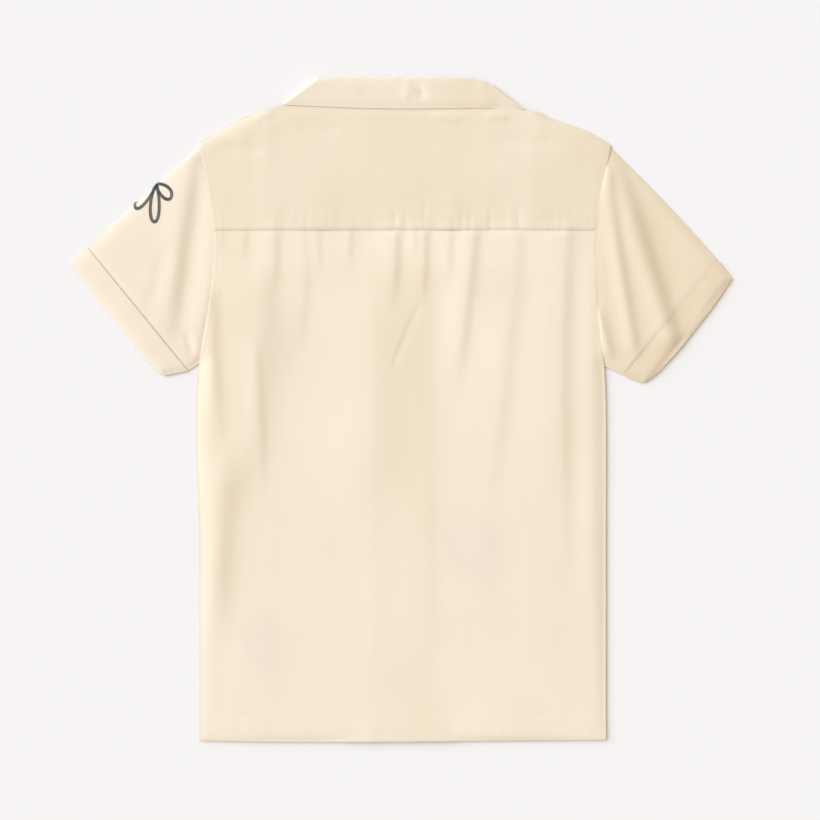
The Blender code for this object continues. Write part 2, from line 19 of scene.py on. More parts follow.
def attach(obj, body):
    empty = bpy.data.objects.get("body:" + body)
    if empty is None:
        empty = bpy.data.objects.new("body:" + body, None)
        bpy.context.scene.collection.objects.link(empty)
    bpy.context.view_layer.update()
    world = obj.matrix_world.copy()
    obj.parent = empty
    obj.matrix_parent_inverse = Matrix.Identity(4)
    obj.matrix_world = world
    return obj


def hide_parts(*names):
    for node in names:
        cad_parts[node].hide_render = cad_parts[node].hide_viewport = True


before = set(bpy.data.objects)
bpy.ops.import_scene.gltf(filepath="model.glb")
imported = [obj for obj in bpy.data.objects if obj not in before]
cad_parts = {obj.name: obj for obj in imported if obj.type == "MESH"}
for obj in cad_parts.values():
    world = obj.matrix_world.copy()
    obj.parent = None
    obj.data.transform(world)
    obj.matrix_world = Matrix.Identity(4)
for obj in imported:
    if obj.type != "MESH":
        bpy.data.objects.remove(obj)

LOG = logging.getLogger("shirt")
SOFT_DROP = 0.15  # share of its rounding that soft_max takes off again
BUMP_REACH = 3.0  # half widths past which a fold or crease adds nothing
CREASE_ENDS = 0.3  # share of a crease's length over which either end fades
CURVE_ROUNDS = 4  # rounds in which a point between two curves settles

Pair = tuple[float, float]
Rows = tuple[tuple[float, ...], ...]
Colour = tuple[float, float, float]
Walls = tuple[Vector, Vector]


class Side(Enum):
    """A side of the shirt, as the wearer has it. The value is the sign of x."""

    LEFT = -1
    RIGHT = 1


class Slot(Enum):
    """The record's material slots."""

    COTTON = "cotton"
    BUTTON = "button"


class Held(Enum):
    LAID = "laid"
    FOLDED = "folded"
    GATHERED = "gathered"


def smooth(t: float) -> float:
    """Eases a number from 0 to 1.

    Args:
        t: any number.

    Returns:
        0 below 0, 1 above 1, and a soft S between.
    """
    t = max(0.0, min(1.0, t))
    return t * t * (3 - 2 * t)


def ramp(value: float, full: float, none: float) -> float:
    """Eases between two places.

    Args:
        value: the place asked for.
        full: where the result is 1.
        none: where the result is 0.

    Returns:
        A number from 0 to 1.
    """
    return smooth((value - none) / (full - none))


def mix(a: float, b: float, t: float) -> float:
    """Returns the number that lies at share t between a and b."""
    return a + (b - a) * t


def bell(off: float, width: float) -> float:
    """Returns 1 in the middle of a bell curve and next to 0 two widths off it."""
    return math.exp(-((off / width) ** 2))


def soft_max(a: float, b: float, soft: float) -> float:
    """Takes the larger of two heights without a hard line between them.

    Args:
        a: one height.
        b: the other height.
        soft: how far apart the two are where the rounding ends.

    Returns:
        The larger height, raised a little where they are alike.
    """
    return (a + b + math.sqrt((a - b) ** 2 + soft * soft)) / 2 - soft * SOFT_DROP


def follow(rows: Rows, at: float) -> float:
    """Reads a smooth curve through a table.

    Args:
        rows: (place, value) rows with rising places.
        at: the place asked for.

    Returns:
        The value there.
    """
    last = len(rows) - 1
    i = 0
    while i < last - 1 and at > rows[i + 1][0]:
        i += 1
    x0, y0 = rows[i]
    x1, y1 = rows[i + 1]
    before = rows[i - 1] if i > 0 else rows[i]
    after = rows[i + 2] if i + 2 <= last else rows[i + 1]
    slope0 = (y1 - before[1]) / (x1 - before[0])
    slope1 = (after[1] - y0) / (after[0] - x0)
    span = x1 - x0
    t = max(0.0, min(1.0, (at - x0) / span))
    a = t * t * (3 - 2 * t)
    b = t * (1 - t) * (1 - t)
    c = t * t * (1 - t)
    return y0 * (1 - a) + y1 * a + span * (slope0 * b - slope1 * c)


def between(rows: Sequence[Sequence[float]], t: float) -> list[float]:
    """Reads a smooth curve through rows of any width.

    Args:
        rows: the rows that it passes through.
        t: from 0 at the first row to 1 at the last.

    Returns:
        The row at t.
    """
    place = t * (len(rows) - 1)
    i = min(int(place), len(rows) - 2)
    f = place - i
    p1, p2 = rows[i], rows[i + 1]
    p0 = rows[i - 1] if i > 0 else p1
    p3 = rows[i + 2] if i + 2 < len(rows) else p2
    return [
        0.5 * (2 * b + (c - a) * f + (2 * a - 5 * b + 4 * c - d) * f * f + (3 * b - a - 3 * c + d) * f ** 3)
        for a, b, c, d in zip(p0, p1, p2, p3)
    ]


def spread(*spans: tuple[float, float, int]) -> list[float]:
    """Lays out grid lines.

    Args:
        spans: (from, to, steps) rows that follow each other.

    Returns:
        The places of the lines, the first and last included.
    """
    lines = [spans[0][0]]
    for start, stop, steps in spans:
        lines += [mix(start, stop, (i + 1) / steps) for i in range(steps)]
    return lines


@dataclass(frozen=True)
class Fold:
    """A soft ridge that runs down the cloth, or a trough where its height is negative."""

    top_y: float
    low_y: float
    top_x: float
    bend_x: float
    low_x: float
    half_width: float
    height: float
    lean: float = 3.0
    start: float = 0.010
    fade: float = 0.45

    def at(self, x: float, y: float) -> float:
        """Finds the height that the fold adds.

        Args:
            x: place across the shirt.
            y: place up the shirt.

        Returns:
            The height, in metres.
        """
        v = (self.top_y - y) / (self.top_y - self.low_y)
        if not 0 < v < 1:
            return 0.0
        across = x - (1 - v) ** 2 * self.top_x - 2 * v * (1 - v) * self.bend_x - v * v * self.low_x
        gentle = (across < 0) == (self.height > 0)
        across /= self.half_width * (self.lean if gentle else 1.0)
        if abs(across) > BUMP_REACH:
            return 0.0
        begun = smooth((self.top_y - y) / self.start)
        return self.height * math.exp(-across * across) * begun * smooth((1 - v) / self.fade)


@dataclass(frozen=True)
class Crease:
    """A crease between two points that may bow to one side."""

    start: Pair
    end: Pair
    half_width: float
    height: float
    bow: float = 0.0
    lean: float = 1.0

    def at(self, x: float, y: float) -> float:
        """Finds the height that the crease adds.

        Args:
            x: place across the shirt.
            y: place up the shirt.

        Returns:
            The height, in metres.
        """
        along_x, along_y = self.end[0] - self.start[0], self.end[1] - self.start[1]
        from_x, from_y = x - self.start[0], y - self.start[1]
        length = math.hypot(along_x, along_y)
        t = (from_x * along_x + from_y * along_y) / (length * length)
        if not 0 < t < 1:
            return 0.0
        off = (from_x * along_y - from_y * along_x) / length - self.bow * 4 * t * (1 - t)
        off /= self.half_width * (self.lean if off < 0 else 1.0)
        if abs(off) > BUMP_REACH:
            return 0.0
        return self.height * math.exp(-off * off) * smooth(t / CREASE_ENDS) * smooth((1 - t) / CREASE_ENDS)


Bump = Fold | Crease


@dataclass(frozen=True)
class Waver:
    """An uneven height, with how often it changes across and up the shirt."""

    height: float
    across: float
    up: float
    seed: float

    def at(self, x: float, y: float) -> float:
        """Returns the height that it adds at a place."""
        return self.height * noise.noise(Vector((x * self.across, y * self.up, self.seed)))


@dataclass(frozen=True)
class Lay:
    """How the shirt lies: its outline, and how high each layer of it stands."""

    wall: float = 0.00055
    layer: float = 0.0013
    cuff_layer: float = 0.0007
    least: float = 0.0013
    edge: float = 0.0023
    edge_drop: float = 0.0010
    edge_width: float = 0.0050
    floor_gap: float = 0.0002
    loft: float = 0.0032
    left_roll: float = 0.014
    right_roll: float = 0.011
    roll_x: Pair = (0.060, -0.060)
    side_loft: float = 0.42
    side_loft_x: Pair = (0.110, 0.180)
    hem_loft: float = 0.42
    hem_loft_y: Pair = (-0.175, -0.293)
    neck_loft_loss: float = 0.0009
    neck_settle: float = 0.92
    settle_x: Pair = (0.100, 0.145)
    settle_y: Pair = (0.2600, 0.190)
    collar_line: Pair = (0.2585, 0.2640)
    collar_press: float = 0.0005
    back_softness: float = 0.0005
    sleeve_softness: float = 0.0009
    wavers: tuple[Waver, ...] = (Waver(0.00040, 24, 9, 3.1), Waver(0.00008, 85, 26, 7.4))
    armhole_groove: Pair = (0.00030, 0.0011)
    armhole_stitch: float = 0.0032
    stitch_groove: Pair = (0.00020, 0.0009)
    armhole_begins: Pair = (0.036, 0.012)
    rim_share: float = 0.45
    rim_width: float = 0.0012
    hem_edge: Pair = (-0.0015, 0.0020)
    seam_tuck: float = 0.0030
    button_lift: float = 0.0021
    last_button: Pair = (-0.200, -0.245)
    plain_lap: float = 0.35
    break_y: float = 0.1390
    yoke_seam_y: float = 0.1577
    hem_depth: float = 0.0210
    front_neck_x: Pair = (0.108, 0.122)
    front_neck_y: Pair = (0.130, 0.110)
    back_neck_x: Pair = (0.114, 0.134)
    back_neck_y: Pair = (0.126, 0.095)
    front_placket_x: Pair = (0.018, 0.036)
    back_placket_x: Pair = (0.026, 0.066)
    back_placket_top: Pair = (0.016, 0.034)
    button_row_top: Pair = (-0.004, 0.012)
    lapped_top: Pair = (0.014, 0.030)
    collar_top: tuple[Pair, ...] = (
        (0.0780, 0.2870), (0.0660, 0.2915), (0.0000, 0.2935), (-0.0560, 0.2935), (-0.0720, 0.2915),
    )
    left_side: Rows = (
        (-0.2930, -0.1780), (-0.1000, -0.1782), (-0.0300, -0.1806), (0.0100, -0.1806), (0.0420, -0.1780),
    )
    right_side: Rows = (
        (-0.2930, 0.1802), (-0.1000, 0.1802), (-0.0300, 0.1803), (0.0100, 0.1800), (0.0394, 0.1787),
    )
    left_armhole: Rows = (
        (0.0420, -0.1780), (0.0950, -0.1688), (0.1440, -0.1646), (0.1900, -0.1690), (0.2339, -0.1785),
    )
    right_armhole: Rows = (
        (0.0394, 0.1787), (0.0850, 0.1738), (0.1350, 0.1719), (0.1900, 0.1762), (0.2324, 0.1852),
    )
    left_shoulder: Rows = (
        (-0.1785, 0.2339), (-0.1764, 0.2365), (-0.1597, 0.2453), (-0.1456, 0.2541), (-0.1219, 0.2629),
        (-0.1050, 0.2676), (-0.0820, 0.2785),
    )
    neckline: Rows = (
        (-0.0820, 0.2785), (-0.0450, 0.2715), (0.0000, 0.2690), (0.0450, 0.2708), (0.0820, 0.2762),
    )
    right_shoulder: Rows = (
        (0.0820, 0.2762), (0.1000, 0.2664), (0.1078, 0.2632), (0.1175, 0.2622), (0.1386, 0.2541),
        (0.1632, 0.2453), (0.1791, 0.2365), (0.1852, 0.2324),
    )
    hem: Rows = ((-0.1780, -0.2918), (-0.0970, -0.2930), (0.0000, -0.2926), (0.1802, -0.2912))
    front_edge: Rows = (
        (-0.2930, 0.0130), (0.1000, 0.0130), (0.1240, 0.0120), (0.1390, 0.0000), (0.1500, -0.0100),
        (0.1800, -0.0290), (0.2165, -0.0480), (0.2400, -0.0650), (0.2600, -0.0765), (0.2785, -0.0820),
    )
    left_cuff_line: Rows = ((-0.2770, 0.1430), (-0.1880, 0.0337))
    left_cuff_end: Rows = ((-0.2917, 0.1274), (-0.2125, 0.0287))
    right_cuff_line: Rows = ((0.2800, 0.1300), (0.1970, 0.0292))
    right_cuff_end: Rows = ((0.2917, 0.1151), (0.2165, 0.0218))
    deep_box: tuple[float, float, float] = (0.150, -0.265, 0.210)
    outline: list[Pair] = field(default_factory=list)

    def __post_init__(self) -> None:
        """Joins the tables into one outline, in order."""
        points = [(x, y) for y, x in self.left_side[::-1]] + list(self.hem[1:-1])
        points += [(x, y) for y, x in self.right_side]
        points += [self.right_cuff_line[1], self.right_cuff_end[1], self.right_cuff_end[0]]
        points += [self.right_cuff_line[0], *self.right_shoulder[:1:-1]]
        points += self.collar_top
        points += [*self.left_shoulder[-2::-1], self.left_cuff_line[0], self.left_cuff_end[0]]
        points += [self.left_cuff_end[1], self.left_cuff_line[1]]
        self.outline.extend(points)

    def left_edge(self, y: float) -> float:
        """Returns x of the body's left outline or armhole seam at y."""
        return follow(self.left_side if y < self.left_side[-1][0] else self.left_armhole, y)

    def right_edge(self, y: float) -> float:
        """Returns x of the body's right outline or armhole seam at y."""
        return follow(self.right_side if y < self.right_side[-1][0] else self.right_armhole, y)

    def shoulder_y(self, x: float) -> float:
        """Finds the upper edge of the yoke and fronts.

        Args:
            x: place across the shirt.

        Returns:
            y of the shoulder, or of the neckline between the shoulders.
        """
        if x < self.neckline[0][0]:
            return follow(self.left_shoulder, x)
        return follow(self.neckline if x < self.neckline[-1][0] else self.right_shoulder, x)

    def body_edge(self, side: Side) -> Callable[[float], float]:
        """Returns what gives x of a side's edge at y."""
        return self.left_edge if side is Side.LEFT else self.right_edge

    def hem_y(self, x: float) -> float:
        """Returns y of the lower edge at x."""
        return follow(self.hem, x)

    def inset(self, x: float, y: float) -> float:
        """Finds how far inside the outline a point is.

        Args:
            x: place across the shirt.
            y: place up the shirt.

        Returns:
            The distance, or the wider roll's width where it is more.
        """
        best = self.left_roll
        if abs(x) < self.deep_box[0] and self.deep_box[1] < y < self.deep_box[2]:
            return best
        for (x0, y0), (x1, y1) in zip(self.outline, self.outline[1:] + self.outline[:1]):
            dx, dy = x1 - x0, y1 - y0
            t = max(0.0, min(1.0, ((x - x0) * dx + (y - y0) * dy) / (dx * dx + dy * dy)))
            best = min(best, math.hypot(x - x0 - t * dx, y - y0 - t * dy))
        return best

    def roll(self, x: float, y: float) -> float:
        """Finds how far the cloth has risen from the rolled edge of the outline.

        Args:
            x: place across the shirt.
            y: place up the shirt.

        Returns:
            0 at the outline and 1 inside the roll, round as a fold is.
        """
        width = mix(self.left_roll, self.right_roll, ramp(x, *self.roll_x))
        left = 1 - min(1.0, self.inset(x, y) / width)
        return 1 - left * left

    def lift(self, x: float, y: float) -> float:
        """Returns the share of a layer by which the collar's leaves lift the cloth over them."""
        return ramp(abs(x), *self.back_neck_x) * ramp(y, *self.back_neck_y)

    def upper(self, x: float, y: float, bumps: Iterable[Bump] = ()) -> float:
        """Finds the height of the top of the uppermost layer.

        Args:
            x: place across the shirt.
            y: place up the shirt.
            bumps: the folds and creases in it.

        Returns:
            The height, in metres.
        """
        rise = self.roll(x, y)
        lift = self.lift(x, y)
        settle = self.neck_settle * ramp(abs(x), *self.settle_x) * ramp(y, *self.settle_y)
        loft = self.loft * mix(self.hem_loft, 1.0, ramp(y, *self.hem_loft_y))
        loft *= mix(self.side_loft, 1.0, ramp(abs(x), *self.side_loft_x))
        loft -= self.neck_loft_loss * lift
        height = self.edge + self.layer * lift + loft * rise * (1 - settle)
        height -= self.edge_drop * (1 - smooth(self.inset(x, y) / self.edge_width)) * (1 - lift)
        covered = ramp(abs(x), *self.settle_x) * ramp(y, *self.collar_line[::-1])
        height -= self.collar_press * covered
        uneven = sum(bump.at(x, y) for bump in bumps) + sum(waver.at(x, y) for waver in self.wavers)
        return height + uneven * rise * (1 - covered)

    def aside(self, x: float, y: float) -> float:
        """Returns the distance from the nearer of the body's side edges or armhole seams."""
        return min(x - self.left_edge(y), self.right_edge(y) - x)

    def armhole_draw(self, x: float, y: float) -> float:
        """Finds how far an armhole seam draws the body's cloth down.

        Args:
            x: place across the shirt.
            y: place up the shirt.

        Returns:
            The depth, in metres.
        """
        aside = self.aside(x, y)
        deep, wide = self.armhole_groove
        stitch_deep, stitch_wide = self.stitch_groove
        depth = deep * bell(aside, wide) + stitch_deep * bell(aside - self.armhole_stitch, stitch_wide)
        begin, run = self.armhole_begins
        return depth * smooth((y - begin) / run)

    def rim_wall(self, x: float, y: float) -> float:
        """Returns the cloth's thickness, less along the body's side edges and armhole seams."""
        return self.wall * (1 - self.rim_share * bell(self.aside(x, y), self.rim_width))

    def least_back(self, x: float, y: float) -> float:
        """Returns the lowest that the top of the back lies over the lapped fronts and their buttons."""
        over = ramp(abs(x), *self.back_placket_x) * ramp(y - self.break_y, *self.back_placket_top)
        return self.edge + (self.buttoned(y) + self.layer - self.wall) * over

    def buttoned(self, y: float) -> float:
        """Returns how far the buttons lift the lapped fronts at y, less below the last one."""
        return self.button_lift * mix(self.plain_lap, 1.0, ramp(y, *self.last_button))

    def front_under(self, x: float, y: float, lapped: bool) -> float:
        """Finds the height of the underside of a front.

        Args:
            x: place across the shirt.
            y: place up the shirt.
            lapped: whether it is the front that lies on the other one.

        Returns:
            The height, in metres.
        """
        over_leaves = ramp(abs(x), *self.front_neck_x) * ramp(y, *self.front_neck_y)
        over_buttons = ramp(abs(x), *self.front_placket_x) * ramp(y - self.break_y, *self.button_row_top)
        height = max(self.layer * over_leaves, self.buttoned(y) * over_buttons, self.floor_gap)
        if lapped:
            over = ramp(x, *self.front_placket_x) * ramp(y - self.break_y, *self.lapped_top)
            height += self.layer * over
        return height

    def body_point(
        self, u: float, v: float, low: Callable[[float], float], high: Callable[[float], float]
    ) -> Pair:
        """Finds a point of the body between two curves.

        Args:
            u: share across the body, from its left edge to its right one.
            v: share up, from the low curve to the high one.
            low: y of the low curve at x.
            high: y of the high curve at x.

        Returns:
            (x, y) of the point.
        """
        x = y = 0.0
        for _ in range(CURVE_ROUNDS):
            y = mix(low(x), high(x), v)
            x = mix(self.left_edge(y), self.right_edge(y), u)
        return x, y


def tree_parts(material: bpy.types.Material) -> tuple[bpy.types.Nodes, bpy.types.NodeLinks]:
    """Returns a material's nodes and links."""
    return material.node_tree.nodes, material.node_tree.links


@dataclass(frozen=True)
class Grain:
    """A noise in a finish: how fine it is along each axis, and the tone and bump that it gives."""

    scale: tuple[float, float, float]
    turn: float = 0.0
    detail: float = 2.0
    tone: Colour | None = None
    least: float = 0.0
    most: float = 1.0
    share: float = 1.0
    bump: float = 0.0


@dataclass(frozen=True)
class Shown:
    """What shows through the cloth where the mesh attribute of its name is high; the doubled tone also
    carries painted shade.
    """

    name: str
    tone: Colour
    share: float


@dataclass(frozen=True)
class Finish:
    """A finish, on which the others build."""

    colour: Colour = (0.8, 0.8, 0.8)
    roughness: float = 0.9
    specular: float = 0.3
    extras: tuple[tuple[str, float], ...] = ()
    grains: tuple[Grain, ...] = ()
    shown: tuple[Shown, ...] = ()
    thread_pitches: tuple[float, ...] = ()
    thread_height: float = 0.000024

    def material(self, name: str, turn: float = 0.0, marked: bool = False) -> bpy.types.Material:
        """Makes the material of this finish.

        Args:
            name: the material's name.
            turn: the angle of the warp from the y axis.
            marked: whether the things below show through, with the painted shade that shares their attribute.

        Returns:
            The material.
        """
        material = bpy.data.materials.new(name)
        material.use_nodes = True
        material.diffuse_color = (*self.colour, 1.0)
        nodes, links = tree_parts(material)
        shader = nodes["Principled BSDF"]
        shader.inputs["Base Color"].default_value = (*self.colour, 1.0)
        shader.inputs["Roughness"].default_value = self.roughness
        shader.inputs["Specular IOR Level"].default_value = self.specular
        for socket, value in self.extras:
            shader.inputs[socket].default_value = value
        heights = [
            (self.threads(material, across, pitch, turn), self.thread_height)
            for across, pitch in zip("XY", self.thread_pitches)
        ]
        colour = None
        for grain in self.grains:
            value = self.grain_value(material, grain, turn + grain.turn)
            if grain.tone is not None:
                colour = self.toned(
                    material, colour, grain.tone, value, grain.least, grain.most, grain.share
                )
            if grain.bump:
                heights.append((value, grain.bump))
        for shown in self.shown if marked else ():
            below = nodes.new("ShaderNodeAttribute")
            below.attribute_name = shown.name
            colour = self.toned(material, colour, shown.tone, below.outputs["Fac"], 0.0, 1.0, shown.share)
        if colour is not None:
            links.new(colour, shader.inputs["Base Color"])
        self.raised(material, heights)
        return material

    def turned_place(self, material: bpy.types.Material, turn: float) -> bpy.types.NodeSocket:
        """Adds the object's own coordinates, turned about z.

        Args:
            material: the material that gets them.
            turn: the angle of their y axis.

        Returns:
            The coordinates.
        """
        nodes, links = tree_parts(material)
        place = nodes.new("ShaderNodeTexCoord")
        turned = nodes.new("ShaderNodeMapping")
        turned.vector_type = "TEXTURE"
        turned.inputs["Rotation"].default_value = (0.0, 0.0, turn)
        links.new(place.outputs["Object"], turned.inputs["Vector"])
        return turned.outputs["Vector"]

    def grain_value(self, material: bpy.types.Material, grain: Grain, turn: float) -> bpy.types.NodeSocket:
        """Adds a grain's noise.

        Args:
            material: the material that gets it.
            grain: how fine and detailed it is.
            turn: the angle of its y axis.

        Returns:
            The noise's value.
        """
        nodes, links = tree_parts(material)
        scaled = nodes.new("ShaderNodeMapping")
        scaled.inputs["Scale"].default_value = grain.scale
        texture = nodes.new("ShaderNodeTexNoise")
        texture.inputs["Scale"].default_value = 1.0
        texture.inputs["Detail"].default_value = grain.detail
        links.new(self.turned_place(material, turn), scaled.inputs["Vector"])
        links.new(scaled.outputs["Vector"], texture.inputs["Vector"])
        return texture.outputs["Fac"]

    def threads(
        self, material: bpy.types.Material, across: str, pitch: float, turn: float
    ) -> bpy.types.NodeSocket:
        """Adds a row of parallel threads.

        Args:
            material: the material that gets them.
            across: the axis that they follow each other on, X or Y.
            pitch: the distance from one thread to the next.
            turn: the angle of the cloth's y axis.

        Returns:
            The height of the threads.
        """
        nodes, links = tree_parts(material)
        wave = nodes.new("ShaderNodeTexWave")
        wave.bands_direction = across
        wave.inputs["Scale"].default_value = math.pi / 10 / pitch
        wave.inputs["Distortion"].default_value = 2.0
        wave.inputs["Detail"].default_value = 1.0
        wave.inputs["Detail Scale"].default_value = 0.15
        links.new(self.turned_place(material, turn), wave.inputs["Vector"])
        return wave.outputs["Fac"]

    def toned(
        self, material: bpy.types.Material, base: bpy.types.NodeSocket | None, tone: Colour,
        amount: bpy.types.NodeSocket, least: float, most: float, share: float,
    ) -> bpy.types.NodeSocket:
        """Blends another colour over the base where a value is high.

        Args:
            material: the material that gets it.
            base: the colour below, or None for the finish's own colour.
            tone: the colour to blend in.
            amount: the value that steers it.
            least: the value where it starts.
            most: the value where it is fully there.
            share: how much of the tone there is at most.

        Returns:
            The blended colour.
        """
        nodes, links = tree_parts(material)
        reach = nodes.new("ShaderNodeMapRange")
        reach.inputs["From Min"].default_value = least
        reach.inputs["From Max"].default_value = most
        reach.inputs["To Max"].default_value = share
        blend = nodes.new("ShaderNodeMix")
        blend.data_type = "RGBA"
        blend.inputs["B"].default_value = (*tone, 1.0)
        links.new(amount, reach.inputs["Value"])
        links.new(reach.outputs["Result"], blend.inputs["Factor"])
        if base is None:
            blend.inputs["A"].default_value = (*self.colour, 1.0)
        else:
            links.new(base, blend.inputs["A"])
        return blend.outputs["Result"]

    def raised(
        self, material: bpy.types.Material, heights: Sequence[tuple[bpy.types.NodeSocket, float]]
    ) -> None:
        """Gives the shader a bump.

        Args:
            material: the material that gets it.
            heights: values from 0 to 1, and the height in metres of each.
        """
        nodes, links = tree_parts(material)
        before = None
        for value, height in heights:
            bump = nodes.new("ShaderNodeBump")
            bump.inputs["Strength"].default_value = 1.0
            bump.inputs["Distance"].default_value = height
            links.new(value, bump.inputs["Height"])
            if before is not None:
                links.new(before, bump.inputs["Normal"])
            before = bump.outputs["Normal"]
        if before is not None:
            links.new(before, nodes["Principled BSDF"].inputs["Normal"])


PALE_COTTON: Colour = (0.900, 0.808, 0.670)
DEEP_COTTON: Colour = (0.790, 0.668, 0.492)


@dataclass(frozen=True)
class Cotton(Finish):
    """Soft cream cotton in a slubbed plain weave, the tones of what shows through it, and a deeper tone that
    also serves as painted shade.
    """

    colour: Colour = (0.862, 0.755, 0.604)
    roughness: float = 0.92
    specular: float = 0.18
    extras: tuple[tuple[str, float], ...] = (("Sheen Weight", 0.06), ("Sheen Roughness", 0.6))
    grains: tuple[Grain, ...] = (
        Grain((950, 42, 42), tone=DEEP_COTTON, least=0.50, most=0.80, share=0.13, bump=0.00005),
        Grain((55, 1150, 55), tone=PALE_COTTON, least=0.50, most=0.82, share=0.11, bump=0.00005),
        Grain((11, 7, 9), detail=3.0, tone=DEEP_COTTON, least=0.40, most=0.70, share=0.26),
    )
    shown: tuple[Shown, ...] = (
        # the second tone is doubled cloth showing through, and painted shade where the marks put it
        Shown("motif", (0.500, 0.540, 0.545), 0.12), Shown("doubled", (0.800, 0.680, 0.515), 0.62)
    )
    thread_pitches: tuple[float, ...] = (0.00052, 0.000572)

    def deeper(self, by: float, dim: float) -> Cotton:
        """Makes a darker copy of the same cotton: the deeper tone of doubled cloth on the yoke, and painted
        shade on the right sleeve and cuff.

        Args:
            by: the power that each colour is raised to, 1 for no change.
            dim: the share of light that it still gives back, 1 for no change.

        Returns:
            The deeper cotton.
        """
        colour, *tones = (
            tuple(dim * value ** by for value in tone)
            for tone in (self.colour, *(grain.tone for grain in self.grains))
        )
        grains = tuple(replace(grain, tone=tone) for grain, tone in zip(self.grains, tones))
        return replace(self, colour=colour, grains=grains)


@dataclass(frozen=True)
class SewingThread(Finish):
    """Cream sewing thread, twisted."""

    colour: Colour = (0.820, 0.700, 0.540)
    roughness: float = 0.65
    specular: float = 0.35
    grains: tuple[Grain, ...] = (
        Grain((2600, 2600, 2600), 0.6, 1.0, (0.700, 0.570, 0.410), 0.45, 0.70, 0.5, 0.00004),
    )


@dataclass(frozen=True)
class Yarn(Finish):
    """Charcoal embroidery yarn with a blue cast."""

    colour: Colour = (0.034, 0.038, 0.050)
    roughness: float = 0.75
    specular: float = 0.35
    extras: tuple[tuple[str, float], ...] = (("Sheen Weight", 0.25),)
    grains: tuple[Grain, ...] = (
        Grain((2200, 2200, 2200), 0.8, 2.0, (0.110, 0.118, 0.135), 0.48, 0.72, 0.7, 0.00008),
    )


@dataclass(frozen=True)
class Horn(Finish):
    """Pale horn-coloured resin, satin, with soft swirls and specks."""

    colour: Colour = (0.680, 0.560, 0.400)
    roughness: float = 0.38
    specular: float = 0.5
    extras: tuple[tuple[str, float], ...] = (("Coat Weight", 0.2), ("Coat Roughness", 0.3))
    grains: tuple[Grain, ...] = (
        Grain((220, 520, 300), 0.5, 3.0, (0.430, 0.310, 0.190), 0.46, 0.68, 0.7, 0.00003),
        Grain((1500, 1500, 1500), 0.0, 1.0, (0.820, 0.740, 0.600), 0.60, 0.75, 0.4),
    )


@dataclass(frozen=True)
class Paper(Finish):
    """Pale backdrop paper with a faint tooth."""

    colour: Colour = (0.850, 0.838, 0.830)
    roughness: float = 1.0
    specular: float = 0.0
    grains: tuple[Grain, ...] = (Grain((400, 400, 400), bump=0.00002),)


def make_object(bm: bmesh.types.BMesh, name: str, sharp: float = 70.0) -> bpy.types.Object:
    """Turns a finished bmesh into an object that rides with the shirt.

    Args:
        bm: the bmesh, which is freed.
        name: the object's name.
        sharp: the angle in degrees from which an edge is drawn hard.

    Returns:
        The object.
    """
    mesh = bpy.data.meshes.new(name)
    bm.to_mesh(mesh)
    bm.free()
    mesh.shade_smooth()
    mesh.set_sharp_from_angle(angle=math.radians(sharp))
    made = bpy.data.objects.new(name, mesh)
    bpy.context.scene.collection.objects.link(made)
    return made


@dataclass
class ClothPiece:
    """A cut piece of cotton: a grid of threads laid in place, with two skins and closed edges."""

    lay: Lay
    node: str
    cut: Pair
    cut_area: float | None = None
    held: Held = Held.LAID
    rests_on: tuple[str, ...] = ()
    rolled: bool = False
    warp_turn: float = 0.0
    # how much darker this piece's cotton is: the doubled tone on the yoke, painted shade on the right sleeve
    # and cuff
    tone_and_painted_shade: Pair = (1.0, 1.0)
    marked: bool = False
    made: bpy.types.Object | None = None

    def lines(self) -> tuple[list[float], list[float]]:
        """Returns the places, from 0 to 1, of the grid's columns and of its rows."""
        raise NotImplementedError

    def place(self, u: float, v: float) -> Walls:
        """Returns the points of the inner and the outer skin at u across and v up the piece."""
        raise NotImplementedError

    def marks(self, at: Vector) -> Pair:
        """Returns how far the embroidery shows through at a point, and the share of the deeper tone, for a
        doubled layer below and for painted shade.
        """
        return 0.0, 0.0

    def build(self) -> None:
        """Makes the piece's mesh from a flat grid, rolled into a tube if it is one."""
        columns, rows = self.lines()
        bm = bmesh.new()
        bmesh.ops.create_grid(bm, x_segments=len(columns) - 1, y_segments=len(rows) - 1, size=0.5)
        bm.verts.layers.int.new("column")
        row = bm.verts.layers.int.new("row")
        motif = bm.verts.layers.float.new("motif")
        # this attribute holds both the doubled cloth below and painted shade
        doubled = bm.verts.layers.float.new("doubled")
        column = bm.verts.layers.int["column"]
        for vert in bm.verts:
            vert[column] = round((vert.co.x + 0.5) * (len(columns) - 1))
            vert[row] = round((vert.co.y + 0.5) * (len(rows) - 1))
            if self.rolled:
                angle = 2 * math.pi * (vert.co.x + 0.5)
                vert.co = Vector((math.cos(angle), math.sin(angle), vert.co.y))
        if self.rolled:
            bmesh.ops.remove_doubles(bm, verts=bm.verts, dist=1e-5)
        grown = bmesh.ops.extrude_face_region(bm, geom=bm.faces[:], use_keep_orig=True)
        outer = {part for part in grown["geom"] if isinstance(part, bmesh.types.BMVert)}
        walls: dict[tuple[int, int], Walls] = {}
        for vert in bm.verts:
            key = (vert[column], vert[row])
            if key not in walls:
                walls[key] = self.place(columns[key[0]], rows[key[1]])
            vert.co = walls[key][1 if vert in outer else 0]
            if self.marked:
                vert[motif], vert[doubled] = self.marks(vert.co)
        bmesh.ops.recalc_face_normals(bm, faces=bm.faces)
        bm.verts.layers.int.remove(row)
        bm.verts.layers.int.remove(bm.verts.layers.int["column"])
        self.made = make_object(bm, f"{self.node}_cloth")

    def dress(self, cotton: Cotton) -> None:
        """Gives the piece its cotton, puts it under the root, hides the part that it replaces and logs its
        face count.

        Args:
            cotton: the finish.
        """
        finish = cotton.deeper(*self.tone_and_painted_shade)
        self.made.data.materials.append(finish.material(f"{self.node}_cotton", self.warp_turn, self.marked))
        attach(self.made, "root")
        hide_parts(self.node)
        LOG.info("%s: %d faces", self.made.name, len(self.made.data.polygons))


